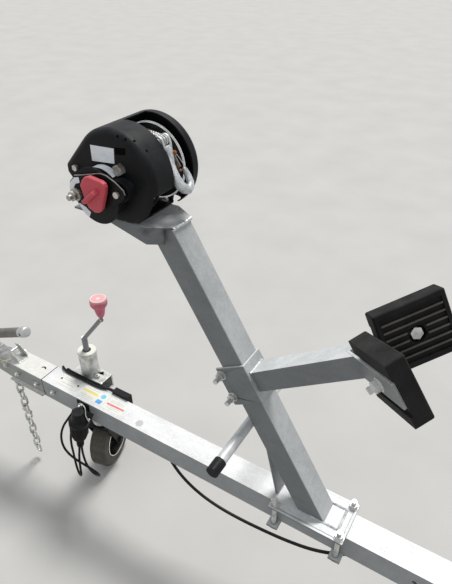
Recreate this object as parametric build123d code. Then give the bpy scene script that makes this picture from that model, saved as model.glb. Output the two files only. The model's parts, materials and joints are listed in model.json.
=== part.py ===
from build123d import *
import math
import os

os.makedirs("parts", exist_ok=True)

# Front end of a boat trailer: drawbar with ball coupling and jockey wheel, and the winch post
# with its hand winch and bow stop. Millimetres. X runs aft along the drawbar, Y to the
# trailer's right, Z up. The origin is the front chassis bolt, on the drawbar's centre line.

# Drawbar
bar_w = 70.0
bar_wall = 4.0
bar_nose_x = -1184.0
bar_tail_x = 140.0
chassis_bolt_r = 6.5
chassis_bolt_pitch = 90.0

# Coupling
shell_gap = 1.5
shell_wall = 4.0
shell_len = 154.0
shell_drop = 62.0
shell_flange = 12.0
cheek_len = 84.0
spigot_w = 60.0
spigot_wall = 5.0
spigot_aft = 110.0
ball_r = 25.0
ball_gap = 0.5
cup_r = 36.0
ball_x = -1492.0
ball_z = -6.0
grip_r = 16.0
grip_len = 246.0
grip_rise = 24.0
handle_pin_x = -1478.0
handle_pin_z = 52.0
handle_pin_r = 5.0
handle_boss_half = 17.0
handle_cap_len = 34.0
handle_cap_r = 17.5
handle_cap_hole_r = 5.0
coupling_bolt_r = 5.0
coupling_bolt_z = 8.0
joint_bolt_from_nose = 47.0
shell_bolts_from_nose = (25.5, 117.0)
cheek_bolt = (-1352.0, 22.0)

# Safety chain
link_wire = 3.5
link_inner = 34.0
link_half = 6.8
link_play = 0.3
link_count = 10
shackle_link = 3
shackle_wire = 5.0
chain_x = -1308.0
staple_r = 14.0
staple_wire = 4.0

# Jockey wheel
jockey_x = -1075.0
jockey_y = 74.0
outer_r = 28.5
outer_wall = 3.0
outer_top = 126.0
outer_bottom = -190.0
outer_collar = 1.0
collar_h = 7.0
crank_bush_h = 14.0
crank_bush_drop = 12.0
inner_gap = 1.0
inner_wall = 3.0
inner_top = 90.0
fork_top = -198.0
fork_crown = 8.0
fork_crown_half = 30.0
fork_leg = 5.0
fork_leg_w = 28.0
fork_gap = 5.5
wheel_r = 100.0
wheel_w = 62.0
wheel_z = -312.0
wheel_turn = 15.0
wheel_trail = 30.0
rim_r = 62.0
rim_wall = 3.0
hub_r = 14.0
axle_r = 6.0
pin_clear = 0.05
crank_r = 9.0
crank_foot_z = -40.0
crank_bend_z = 179.0
crank_throw = 92.0
crank_arm_z = 292.0
crank_arm_w = 16.0
crank_arm_t = 10.0
knob_h = 66.0
knob_r = 24.0
bracket_front = 56.0
bracket_aft = 64.0
bracket_wall = 5.0
bracket_w = 67.0
bracket_high = 33.0
bracket_low = -17.0
tube_gap = 0.3

# Winch post
post_w = 60.0
post_wall = 4.0
post_foot_x = -220.0
post_lean = 30.0
post_top_z = 722.0
foot_plate_t = 6.0
foot_plate_front = -359.0
foot_plate_aft = -166.0
foot_plate_half = 60.0
foot_bolt_inset = 13.0
foot_bolt_r = 6.0
foot_strap_w = 30.0
brace_half = 18.0
brace_t = 6.0
brace_lean = 0.22
bar_handle_r = 12.5
bar_handle_s = 304.0
bar_handle_half = 180.0
bar_cap_r = 14.5
bar_cap_len = 34.0

# Bow arm
sleeve_low = 364.0
sleeve_high = 466.0
sleeve_t = 5.0
sleeve_ear = 17.0
sleeve_bolt_r = 6.0
sleeve_bolts = (388.0, 448.0)
arm_w = 50.0
arm_wall = 4.0
arm_top_s = 440.0
arm_rise = 4.3
arm_end = 264.0
vee_half = 43.0
vee_t = 6.0
vee_len = 192.0
pad_at = 128.0
pad_len = 144.0
pad_high = 125.0
pad_thick = 37.0
pad_edge = 4.0
pad_raise = 2.6
pad_seat = 5.0
pad_slot = 74.0
pad_bolt_r = 7.0
pad_turns = {"left": -1.0, "right": -7.0}

# Winch
plate_t = 4.0
plate_front = -855.0
plate_half = 58.0
plate_neck_half = 31.0
winch_x = -728.0
winch_z = 813.0
frame_t = 4.0
frame_near = -37.0
frame_far = 73.0
frame_front = -778.0
frame_aft = -690.0
cover_r = 100.0
cover_wall = 3.0
cover_round = 15.0
cover_near = -62.0
cover_far = 95.0
cover_nose_x = -858.0
cover_nose_high = 825.0
cover_nose_low = 800.0
cover_nose_r = 6.0
cover_bolt = (-703.0, 842.0)
cover_bolt_r = 5.0
cover_post_r = 7.0
nose_bolt = (-824.0, 821.0)
window_near = 2.0
window_far = 68.0
drum_flange_r = 82.0
drum_flange_t = 3.0
drum_near = -19.0
drum_far = 65.0
drum_core_r = 24.0
rope_r = 70.0
gear_r = 78.0
gear_teeth = 44
gear_near = -31.0
gear_far = -23.0
shaft_r = 9.0
drive_x = -745.0
drive_z = 793.0
drive_tilt = 12.0
drive_ear = 55.0
drive_ear_r = 17.0
drive_mid_r = 38.0
drive_back = -84.0
disc_r = 58.0
disc_t = 6.0
flange_t = 4.0
turn_knob_t = 13.0

# Hook
hook_y = 28.0
hook_pin_x = -672.0
hook_pin_z = 875.0
hook_len = 118.0
hook_fall = 57.7
hook_bar_r = 8.0
hook_pin_r = 5.0

# Plug in its holder on the drawbar's left side
plug_y = -68.0
plug_top_x = -996.0
plug_top_z = 24.0
plug_lean = 9.0
plug_r = 27.0
plug_ring_r = 30.0
plug_ring_at = 43.0
plug_ring_h = 13.0
plug_neck_at = 132.0
plug_neck_r = 10.5
plug_end_at = 168.0
holder_plate_t = 3.0
holder_bolt = (-1012.0, 20.0)

# Cables. Each route is its points from one end to the other
cable_r = 3.7
gland_r = 8.0
gland_h = 6.0
plug_cable_apart = 5.2
harness_r = 4.5
lead_r = 4.0
lead_box_low = 5.0
lead_box_high = 46.0
lead_box_x = (-950.0, -888.0)
lead_box_w = 20.0
lead_gland_x = (-1178.0, -1146.5)
lead_gland_w = 12.0
lead_gland_h = 22.0


def block(x0, x1, y0, y1, z0, z1):
    """A box between two corners."""
    centre = ((x0 + x1) / 2, (y0 + y1) / 2, (z0 + z1) / 2)
    return Pos(*centre) * Box(abs(x1 - x0), abs(y1 - y0), abs(z1 - z0))


def rod(start, end, r):
    """A round bar from one point to another."""
    a = Vector(*start)
    b = Vector(*end)
    return extrude(Plane(origin=a, z_dir=(b - a)) * Circle(r), (b - a).length)


def ring(start, end, r_out, r_in):
    """A round tube from one point to another."""
    return rod(start, end, r_out) - rod(start, end, r_in)


def side_plate(points, y0, y1):
    """A flat plate with an outline in XZ, from y0 to y1."""
    face = make_face(Polyline(*[(x, y0, z) for x, z in points], close=True))
    return extrude(face, amount=abs(y1 - y0), dir=(0, 1 if y1 > y0 else -1, 0))


def floor_plate(points, z0, z1):
    """A flat plate with an outline in XY, from z0 to z1."""
    face = make_face(Polyline(*[(x, y, z0) for x, y in points], close=True))
    return extrude(face, amount=z1 - z0, dir=(0, 0, 1))


def hexagon(start, end, across):
    """A hexagonal head or nut between two points."""
    a = Vector(*start)
    b = Vector(*end)
    outline = Plane(origin=a, z_dir=(b - a)) * RegularPolygon(across / 2, 6, major_radius=False)
    return extrude(outline, (b - a).length)


def cross_bolt(x, z, r, y_head, y_nut, tail):
    """A bolt across the trailer: head outside y_head, nut outside y_nut, thread running on by tail."""
    out = 1 if y_head > y_nut else -1
    head = hexagon((x, y_head, z), (x, y_head + out * r * 1.3, z), r * 3.2)
    nut = hexagon((x, y_nut, z), (x, y_nut - out * r * 1.7, z), r * 3.2)
    return head + nut + rod((x, y_head, z), (x, y_nut - out * (r * 1.7 + tail), z), r)


def save(shape, node):
    export_step(shape, "parts/" + node + ".step")


half = bar_w / 2
bar_top = half

# Drawbar tube with its chassis bolt holes and the coupling's bolt hole
joint_bolt_x = bar_nose_x + joint_bolt_from_nose
shell_bolt_xs = [bar_nose_x - back for back in shell_bolts_from_nose]
drawbar = block(bar_nose_x, bar_tail_x, -half, half, -half, half)
drawbar -= block(bar_nose_x, bar_tail_x, -half + bar_wall, half - bar_wall, -half + bar_wall, half - bar_wall)
for x in (0.0, chassis_bolt_pitch):
    drawbar -= rod((x, -half - 1, 0), (x, half + 1, 0), chassis_bolt_r)
bolt_clear = 0.4


def cross_hole(x, z, r):
    """The hole for a bolt across the trailer."""
    return rod((x, -half - 1, z), (x, half + 1, z), r + bolt_clear)


drawbar -= cross_hole(joint_bolt_x, coupling_bolt_z, coupling_bolt_r)
save(drawbar, "drawbar")

# Coupling spigot inside the drawbar and the shell
spigot_front = bar_nose_x - shell_gap - shell_len + 6.0
s = spigot_w / 2
spigot = block(spigot_front, bar_nose_x + spigot_aft, -s, s, -s, s)
spigot_in = s - spigot_wall
spigot -= block(spigot_front, bar_nose_x + spigot_aft, -spigot_in, spigot_in, -spigot_in, spigot_in)
for x in [joint_bolt_x] + shell_bolt_xs:
    spigot -= cross_hole(x, coupling_bolt_z, coupling_bolt_r)
save(spigot, "coupling_spigot")

# Coupling shell: a channel over the spigot with flanges along its lower edges
shell_aft = bar_nose_x - shell_gap
shell_front = shell_aft - shell_len
shell_low = half - shell_drop
cheek_front = shell_front - cheek_len
shell = block(shell_front, shell_aft, -half, half, half - shell_wall, half)
for side in (-1, 1):
    wall_in = side * (half - shell_wall)
    flange_edge = side * (half + shell_flange)
    shell += block(shell_front, shell_aft, wall_in, side * half, shell_low, half)
    shell += block(shell_front, shell_aft, wall_in, flange_edge, shell_low - shell_wall, shell_low)
    cheek = [
        (shell_front, shell_low - shell_wall),
        (shell_front, half),
        (cheek_front, half - 16.0),
        (cheek_front, shell_low + 6.0),
    ]
    shell += side_plate(cheek, side * half, side * (half - shell_wall))
for x in shell_bolt_xs:
    shell -= cross_hole(x, coupling_bolt_z, coupling_bolt_r)
shell -= cross_hole(cheek_bolt[0], cheek_bolt[1], coupling_bolt_r)

# Staple for the safety chain under the left flange of the shell
chain_y = -half - shell_flange / 2
staple_z = shell_low - shell_wall
staple_plane = Plane(origin=(chain_x, chain_y, staple_z), x_dir=(1, 0, 0), z_dir=(0, -1, 0))
staple = staple_plane * CenterArc((0, 0), staple_r, 180, 180)
shell += sweep(Plane(origin=staple @ 0, z_dir=staple % 0) * Circle(staple_wire), path=staple)
save(shell, "coupling_shell")

# Coupling head: neck block between the cheeks, ball cup and the handle's pin
neck_half = half - shell_wall
neck_aft = shell_front - 4.0
neck = block(cheek_front - 26.0, neck_aft, -neck_half, neck_half, shell_low + 6.0, half - shell_wall)
neck_slope = [
    (cheek_front - 30.0, half),
    (neck_aft - 22.0, half),
    (cheek_front, half - 18.0),
    (cheek_front - 30.0, half - 18.0),
]
neck -= side_plate(neck_slope, -half, half)
neck = fillet(neck.edges().filter_by(Axis.Z), 3.0)
neck -= cross_hole(cheek_bolt[0], cheek_bolt[1], coupling_bolt_r)
head = neck + Pos(ball_x, 0, ball_z) * Sphere(cup_r)
head += block(ball_x, cheek_front - 20.0, -cup_r + 6.0, cup_r - 6.0, ball_z - 6.0, ball_z + 28.0)
head += block(
    handle_pin_x - 14.0, handle_pin_x + 14.0, -handle_boss_half, handle_boss_half,
    ball_z + 20.0, handle_pin_z + 12.0,
)
head -= block(ball_x - 60.0, ball_x + 60.0, -60, 60, ball_z - 60.0, ball_z - 16.0)
head -= Pos(ball_x, 0, ball_z) * Sphere(ball_r + ball_gap)
head -= rod((ball_x, 0, ball_z - 40.0), (ball_x, 0, ball_z), ball_r + ball_gap)
pin_half = handle_boss_half + 7.0
head += rod((handle_pin_x, -pin_half, handle_pin_z), (handle_pin_x, pin_half, handle_pin_z), handle_pin_r)
save(head, "coupling_head")

# Coupling handle: grip tube and two side plates on the pin
rise = math.radians(grip_rise)
plate_off = 0.4
handle_t = 4.0
grip_start = (handle_pin_x + 6.0, 0, handle_pin_z + 26.0)
grip_end = (grip_start[0] + grip_len * math.cos(rise), 0, grip_start[2] + grip_len * math.sin(rise))
handle = rod(grip_start, grip_end, grip_r)
grip_dir = (Vector(*grip_end) - Vector(*grip_start)).normalized()
cap_start = Vector(*grip_end) - grip_dir * handle_cap_len
handle = fillet(handle.edges(), 5.0)
cap = rod(tuple(cap_start), tuple(Vector(*grip_end) + grip_dir * 2.0), handle_cap_r)
cap = fillet(cap.edges().filter_by(lambda e: (e.center() - cap_start).length > handle_cap_len / 2), 9.0)
hole_mid = cap_start + grip_dir * (handle_cap_len * 0.55)
hole = rod((hole_mid.X, -40, hole_mid.Z), (hole_mid.X, 40, hole_mid.Z), handle_cap_hole_r)
handle = handle + cap - hole
lug_in = handle_boss_half + plate_off
for side in (-1, 1):
    lug = [
        (handle_pin_x - 11.0, handle_pin_z - 9.0),
        (handle_pin_x + 11.0, handle_pin_z - 9.0),
        (handle_pin_x + 46.0, handle_pin_z + 40.0),
        (handle_pin_x - 11.0, handle_pin_z + 34.0),
    ]
    handle += side_plate(lug, side * lug_in, side * (lug_in + handle_t))
spacer_x = grip_start[0] + 8.0
spacer_z = grip_start[2] + 3.0
spacer_half = lug_in + handle_t
handle += rod((spacer_x, -spacer_half, spacer_z), (spacer_x, spacer_half, spacer_z), 7.0)
handle -= rod((handle_pin_x, -40, handle_pin_z), (handle_pin_x, 40, handle_pin_z), handle_pin_r + pin_clear)
save(handle, "coupling_handle")

# Coupling catch: a folded strip with two tall ears on the front of the shell, under the grip
catch_t = 3.0
catch_half = 20.0
catch_aft = shell_front + 36.0
catch_h = 38.0
catch_ear = [
    (catch_aft, half), (shell_front, half), (shell_front - 20.0, half + catch_h),
    (shell_front + 4.0, half + catch_h + 3.0), (shell_front + 26.0, half + 20.0),
]
catch = block(shell_front, catch_aft, -catch_half, catch_half, half, half + catch_t)
catch += side_plate(catch_ear, -catch_half, -catch_half + catch_t)
catch += side_plate(catch_ear, catch_half - catch_t, catch_half)
catch += rod((shell_front - 6.0, -catch_half, half + 28.0), (shell_front - 6.0, catch_half, half + 28.0), 4.0)
save(catch, "coupling_catch")

# Bolts through drawbar, shell and spigot, and through the cheeks and the head's neck
bolts = []
for x in [joint_bolt_x] + shell_bolt_xs:
    bolts.append(cross_bolt(x, coupling_bolt_z, coupling_bolt_r, half, -half, 5.0))
bolts.append(cross_bolt(cheek_bolt[0], cheek_bolt[1], coupling_bolt_r, half, -half, 3.0))
save(Compound(children=bolts), "coupling_bolts")

# Safety chain: plain links hanging from the staple, turned a quarter from one to the next
link_pitch = link_inner - link_play
first_link_z = staple_z - staple_r + staple_wire + link_play - link_inner / 2


def chain_link(z, across):
    """One link: two straight sides and two half rounds."""
    side = link_half + link_wire
    run = link_inner / 2 - link_half
    plane = Plane(origin=(chain_x, chain_y, z), x_dir=across, z_dir=Vector(*across).cross(Vector(0, 0, 1)))
    path = SlotCenterToCenter(2 * run, 2 * side, rotation=90).face().outer_wire()
    path = plane * path
    return sweep(Plane(origin=path @ 0, z_dir=path % 0) * Circle(link_wire), path=path)


def shackle(z, across):
    """A link with a screw pin's eyes: two wider legs with a boss at the foot of each."""
    ear = link_half + link_wire
    foot = z - link_inner / 2 + link_half
    shape = chain_link(z, across)
    for sign in (-1, 1):
        x = chain_x + across[0] * sign * ear
        y = chain_y + across[1] * sign * ear
        out = (x + across[0] * sign * shackle_wire * 1.6, y + across[1] * sign * shackle_wire * 1.6)
        shape += rod((x, y, foot), (out[0], out[1], foot), shackle_wire + 1.0)
    return shape


links = []
for n in range(link_count):
    across = (0, 1, 0) if n % 2 == 0 else (1, 0, 0)
    make = shackle if n == shackle_link else chain_link
    links.append(make(first_link_z - n * link_pitch, across))
save(Compound(children=links), "safety_chain")

# Jockey bracket: a short box section on the drawbar's right side
bracket = block(
    jockey_x - bracket_front, jockey_x + bracket_aft, half, half + bracket_w, bracket_low, bracket_high,
)
bracket -= block(
    jockey_x - bracket_front - 1, jockey_x + bracket_aft + 1,
    half + bracket_wall, half + bracket_w - bracket_wall,
    bracket_low + bracket_wall, bracket_high - bracket_wall,
)
bracket -= rod(
    (jockey_x, jockey_y, bracket_low - 1), (jockey_x, jockey_y, bracket_high + 1), outer_r + tube_gap,
)
bolt_room = 25.0
bracket -= rod(
    (joint_bolt_x, half, coupling_bolt_z), (joint_bolt_x, half + bolt_room, coupling_bolt_z),
    coupling_bolt_r * 2.2,
)
save(bracket, "jockey_bracket")


def on_jockey(z):
    """A point on the jockey tube's centre line."""
    return (jockey_x, jockey_y, z)


# Jockey outer tube with its top collar and, below the collar, the bush that carries the crank
outer_bore = outer_r - outer_wall
bush_top = outer_top - crank_bush_drop
outer = ring(on_jockey(outer_bottom), on_jockey(outer_top), outer_r, outer_bore)
outer += ring(on_jockey(outer_top - collar_h), on_jockey(outer_top), outer_r + outer_collar, outer_bore - 4.0)
outer += ring(on_jockey(bush_top - crank_bush_h), on_jockey(bush_top), outer_bore, crank_r + pin_clear)
save(outer, "jockey_outer_tube")

# Jockey inner tube
inner_r = outer_bore - inner_gap
inner = ring(on_jockey(fork_top), on_jockey(inner_top), inner_r, inner_r - inner_wall)
save(inner, "jockey_inner_tube")

# Jockey fork, turned with the wheel
fork_pose = Pos(jockey_x, jockey_y, 0) * Rot(0, 0, wheel_turn)
wheel_pose = fork_pose * Pos(0, wheel_trail, 0)
leg_in = wheel_w / 2 + fork_gap
leg_out = leg_in + fork_leg
fork_seat = 0.3
crown_high = fork_top - fork_seat
crown_low = crown_high - fork_crown
axle_nut = 19.0
axle_nut_t = 6.0
fork = block(-leg_out, leg_out, -fork_crown_half, fork_crown_half, crown_low, crown_high)
for side in (-1, 1):
    foot_end = Pos(wheel_trail, wheel_z) * Circle(fork_leg_w / 2)
    top_end = Pos(0, crown_low) * Rectangle(2 * fork_crown_half, 2.0, align=(Align.CENTER, Align.MIN))
    outline = make_hull(foot_end.edges() + top_end.edges())
    leg = Plane(origin=(side * leg_in, 0, 0), x_dir=(0, 1, 0), z_dir=(1, 0, 0)) * outline
    fork += extrude(leg, fork_leg, dir=(side, 0, 0))
axle_end = leg_out + axle_nut_t + 1.0
axle = rod((-axle_end, wheel_trail, wheel_z), (axle_end, wheel_trail, wheel_z), axle_r)
axle += hexagon((leg_out, wheel_trail, wheel_z), (leg_out + axle_nut_t, wheel_trail, wheel_z), axle_nut)
axle += hexagon((-leg_out - axle_nut_t, wheel_trail, wheel_z), (-leg_out, wheel_trail, wheel_z), axle_nut)
save(fork_pose * (fork + axle), "jockey_fork")

# Jockey wheel: rubber tyre on a dished rim
tyre_half = wheel_w / 2
tyre_edge = 10.0
tyre_face = make_face(Polyline(
    (rim_r, -tyre_half + 4.0), (wheel_r - 24.0, -tyre_half),
    (wheel_r - tyre_edge, -tyre_half + 2.0), (wheel_r, -tyre_half + 12.0),
    (wheel_r, tyre_half - 12.0), (wheel_r - tyre_edge, tyre_half - 2.0),
    (wheel_r - 24.0, tyre_half), (rim_r, tyre_half - 4.0),
    close=True,
))


def spun(face):
    """A wheel section given as (radius, place along the axle), spun about the axle."""
    upright = Plane(origin=(0, 0, wheel_z), x_dir=(0, 0, 1), z_dir=(0, -1, 0)) * face
    return revolve(upright, axis=Axis((0, 0, wheel_z), (1, 0, 0)))


tyre = spun(tyre_face)
save(wheel_pose * tyre, "jockey_tyre")
hub_half = leg_in - fork_seat
rim_half = tyre_half - 4.0
web_half = 2.0
rim_in = rim_r - rim_wall
axle_bore = axle_r + pin_clear
rim_face = make_face(Polyline(
    (axle_bore, -hub_half), (hub_r, -hub_half), (hub_r, -web_half), (rim_in, -web_half), (rim_in, -rim_half),
    (rim_r, -rim_half), (rim_r, rim_half), (rim_in, rim_half), (rim_in, web_half), (hub_r, web_half),
    (hub_r, hub_half), (axle_bore, hub_half), close=True,
))
save(wheel_pose * spun(rim_face), "jockey_rim")

# Jockey crank: shaft, slanted arm and the pin under the knob
knob_x = jockey_x + crank_throw
crank = rod(on_jockey(crank_foot_z), on_jockey(crank_bend_z), crank_r)
arm_plane = Plane(
    origin=(jockey_x, jockey_y, crank_bend_z - 6.0), x_dir=(0, 1, 0),
    z_dir=(crank_throw, 0, crank_arm_z - crank_bend_z),
)
arm_run = math.hypot(crank_throw, crank_arm_z - crank_bend_z)
crank += extrude(arm_plane * Rectangle(crank_arm_w, crank_arm_t), arm_run)
crank += rod((knob_x, jockey_y, crank_arm_z - 14.0), (knob_x, jockey_y, crank_arm_z + knob_h - 12.0), 5.0)
save(crank, "jockey_crank")
knob_profile = [
    (5.3, 4.0), (13.0, 4.0), (15.5, 22.0), (19.0, 29.0),
    (knob_r - 1.0, 40.0), (knob_r, 54.0), (knob_r - 3.0, 62.0),
    (0.0, knob_h), (0.0, knob_h - 11.0), (5.3, knob_h - 11.0),
]
knob_points = [(knob_x + r, jockey_y, crank_arm_z + z) for r, z in knob_profile]
knob_face = make_face(Polyline(*knob_points, close=True))
knob = revolve(knob_face, axis=Axis((knob_x, jockey_y, 0), (0, 0, 1)))
save(knob, "jockey_knob")

# Foot plate on the drawbar, straps under it and the four clamping bolts
foot_top = bar_top + foot_plate_t
foot_bolt_xs = (foot_plate_front + foot_bolt_inset, foot_plate_aft - foot_bolt_inset)
foot_bolt_y = foot_plate_half - foot_bolt_inset
foot = block(foot_plate_front, foot_plate_aft, -foot_plate_half, foot_plate_half, bar_top, foot_top)
straps = []
foot_bolts = []
for x in foot_bolt_xs:
    strap = block(
        x - foot_strap_w / 2, x + foot_strap_w / 2, -foot_plate_half, foot_plate_half,
        -half - foot_plate_t, -half,
    )
    for y in (-foot_bolt_y, foot_bolt_y):
        hole = rod((x, y, -half - 20.0), (x, y, foot_top + 20.0), foot_bolt_r + bolt_clear)
        foot -= hole
        strap -= hole
        low = -half - foot_plate_t
        bolt = rod((x, y, low), (x, y, foot_top + 24.0), foot_bolt_r)
        bolt += hexagon((x, y, low - 8.0), (x, y, low), 19.0)
        bolt += rod((x, y, foot_top), (x, y, foot_top + 2.5), 12.0)
        bolt += hexagon((x, y, foot_top + 2.5), (x, y, foot_top + 13.0), 19.0)
        foot_bolts.append(bolt)
    straps.append(strap)
save(foot, "foot_plate")
save(Compound(children=straps), "foot_straps")
save(Compound(children=foot_bolts), "foot_bolts")

# Winch post, leaning forward. Its own frame: across the post aft, then right, then up along it
lean = math.radians(post_lean)
post_up = Vector(-math.sin(lean), 0, math.cos(lean))
post_aft = Vector(math.cos(lean), 0, math.sin(lean))
post_frame = Plane(origin=(post_foot_x, 0, bar_top), x_dir=post_aft, z_dir=post_up)


def on_post(shape):
    return post_frame.location * shape


post_half = post_w / 2
post_in = post_half - post_wall
stock_low = -2 * post_w
stock_high = 1.4 * post_top_z
post = on_post(block(-post_w, 0, -post_half, post_half, stock_low, stock_high))
post -= on_post(block(-post_w + post_wall, -post_wall, -post_in, post_in, stock_low - 1.0, stock_high + 1.0))
post &= block(bar_nose_x, bar_tail_x, -post_w, post_w, foot_top, post_top_z)
save(post, "winch_post")

# Brace: flat plate from the foot plate's front edge to the post's front face
front_at_zero = post_foot_x - post_w / math.cos(lean) + math.tan(lean) * bar_top


def post_front(z):
    return front_at_zero - math.tan(lean) * z


def brace_top(x_foot):
    """Where a line from the foot plate, leaning by brace_lean, meets the post's front face."""
    z = (x_foot + brace_lean * foot_top - front_at_zero) / (brace_lean - math.tan(lean))
    return (post_front(z), z)


brace_front = foot_plate_front
brace_aft = foot_plate_front + brace_t
brace_outline = [
    (brace_aft, foot_top), (brace_front, foot_top), brace_top(brace_front), brace_top(brace_aft),
]
brace = side_plate(brace_outline, -brace_half, brace_half)
save(brace, "post_brace")

# Grab bar across the post's front face with its end caps
bar_n = -post_w - bar_handle_r
bar_handle_wall = 2.5
grab_left = (bar_n, -bar_handle_half, bar_handle_s)
grab_right = (bar_n, bar_handle_half, bar_handle_s)
grab = ring(grab_left, grab_right, bar_handle_r, bar_handle_r - bar_handle_wall)
save(on_post(grab), "grab_bar")
caps = []
for side in (-1, 1):
    cap_in = side * (bar_handle_half - bar_cap_len + 6.0)
    cap_out = side * (bar_handle_half + 6.0)
    cap = rod((bar_n, cap_in, bar_handle_s), (bar_n, cap_out, bar_handle_s), bar_cap_r)
    bar_tip = (bar_n, side * bar_handle_half, bar_handle_s)
    cap -= rod((bar_n, cap_in, bar_handle_s), bar_tip, bar_handle_r + 0.1)
    caps.append(on_post(cap))
save(Compound(children=caps), "grab_bar_caps")

# Sleeve round the post with its clamping ears and bolts
ear_n = -post_w - sleeve_ear
sleeve_bolt_n = -post_w - sleeve_bolt_r - 2.0
sleeve_half = post_w / 2 + sleeve_t
sleeve = block(ear_n, sleeve_t, -sleeve_half, sleeve_half, sleeve_low, sleeve_high)
sleeve -= block(ear_n - 1, 0, -post_w / 2, post_w / 2, sleeve_low - 1, sleeve_high + 1)
sleeve_bolt_set = []
for at in sleeve_bolts:
    sleeve -= rod((sleeve_bolt_n, -60, at), (sleeve_bolt_n, 60, at), sleeve_bolt_r + bolt_clear)
    bolt = cross_bolt(sleeve_bolt_n, at, sleeve_bolt_r, sleeve_half, -sleeve_half, 18.0)
    bolt += rod((sleeve_bolt_n, -sleeve_half - 2.5, at), (sleeve_bolt_n, -sleeve_half, at), 12.0)
    sleeve_bolt_set.append(on_post(bolt))
save(on_post(sleeve), "arm_sleeve")
save(Compound(children=sleeve_bolt_set), "sleeve_bolts")

# Bow arm: square tube on the sleeve. Its own frame: along the arm, right, and up from its top face
tilt = lean + math.radians(arm_rise)
arm_dir = Vector(math.cos(tilt), 0, math.sin(tilt))
arm_up = Vector(-math.sin(tilt), 0, math.cos(tilt))
arm_root = Vector(post_foot_x, 0, bar_top) + post_up * arm_top_s
arm_frame = Plane(origin=arm_root, x_dir=arm_dir, z_dir=arm_up)


def on_arm(shape):
    return arm_frame.location * shape


vee = math.radians(vee_half)
apex = arm_end - arm_w / 2 / math.tan(vee)
reach = 2 * vee_len
reach_x = apex + reach * math.cos(vee)
reach_y = reach * math.sin(vee)
notch = floor_plate([(apex, 0), (reach_x, reach_y), (reach_x, -reach_y)], -arm_w - 5.0, 5.0)
arm = block(-30, arm_end + 20, -arm_w / 2, arm_w / 2, -arm_w, 0)
arm -= block(-40, arm_end + 30, -arm_w / 2 + arm_wall, arm_w / 2 - arm_wall, -arm_w + arm_wall, -arm_wall)
arm = on_arm(arm - notch) & on_post(block(sleeve_t, 600, -100, 100, 0, 1000))
save(arm, "bow_arm")

# Vee plate on the arm's end
out = (math.cos(vee), math.sin(vee))
inward = (math.sin(vee), -math.cos(vee))
tip = (apex + vee_len * out[0], vee_len * out[1])
tip_in = (tip[0] + vee_t * inward[0], tip[1] + vee_t * inward[1])
apex_in = (apex + vee_t / math.sin(vee), 0)
vee_outline = [(apex, 0), tip, tip_in, apex_in, (tip_in[0], -tip_in[1]), (tip[0], -tip[1])]
vee_plate = floor_plate(vee_outline, -arm_w, 0)


def pad_frame(side):
    """Frame at the pad's bolt on the vee plate's outer face: along the plate, towards the boat."""
    along = arm_dir * math.cos(vee) + Vector(0, 1, 0) * (side * math.sin(vee))
    boat = arm_dir * math.sin(vee) - Vector(0, 1, 0) * (side * math.cos(vee))
    at = arm_root + arm_dir * apex - arm_up * (arm_w / 2) + along * pad_at
    return Plane(origin=at, x_dir=along, z_dir=along.cross(boat))


# Bow pads: ribbed rubber blocks, slotted over the vee plate and turned a little on their bolts
groove_depth = 4.0
groove_w = 11.0
groove_pitch = 15.0
head_well_r = 17.0
head_well = 16.0
pad_bolt_tail = 24.0
pad_bolt_across = 22.0
pad_bolts = []
vee_world = on_arm(vee_plate)
for name, side in (("left", -1), ("right", 1)):
    frame = pad_frame(side)
    turn = Rot(0, side * pad_turns[name], 0)
    raised = -side * pad_raise
    pad = block(
        -pad_len / 2, pad_len / 2, vee_t - pad_seat, vee_t - pad_seat + pad_thick,
        raised - pad_high / 2, raised + pad_high / 2,
    )
    face_y = vee_t - pad_seat + pad_thick
    mid_y = face_y - pad_thick / 2
    outer_edges = pad.edges().filter_by(lambda e: e.center().Y > mid_y - 1.0)
    pad = fillet(outer_edges, pad_edge)
    pad -= block(-pad_len, pad_len, -20.0, vee_t + 0.3, -pad_slot / 2, pad_slot / 2)
    for n in range(-3, 4):
        groove_z = raised + n * groove_pitch
        pad -= block(
            -pad_len / 2 + 10.0, pad_len / 2 - 10.0, face_y - groove_depth, face_y + 5.0,
            groove_z - groove_w / 2, groove_z + groove_w / 2,
        )
    pad -= rod((0, face_y - head_well, 0), (0, face_y + 5.0, 0), head_well_r)
    pad -= rod((0, -10, 0), (0, face_y, 0), pad_bolt_r + bolt_clear)
    save(frame.location * (turn * pad), "bow_pad_" + name)
    bolt = rod((0, -pad_bolt_tail, 0), (0, face_y - head_well, 0), pad_bolt_r)
    bolt += hexagon((0, face_y - head_well, 0), (0, face_y - head_well + 10.0, 0), pad_bolt_across)
    bolt += rod((0, -2.5, 0), (0, 0, 0), 14.0)
    bolt += hexagon((0, -14.0, 0), (0, -2.5, 0), pad_bolt_across)
    pad_bolts.append(frame.location * bolt)
    vee_world -= frame.location * rod((0, -20, 0), (0, 20, 0), pad_bolt_r + bolt_clear)
save(vee_world, "bow_vee_plate")
save(Compound(children=pad_bolts), "bow_pad_bolts")

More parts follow.
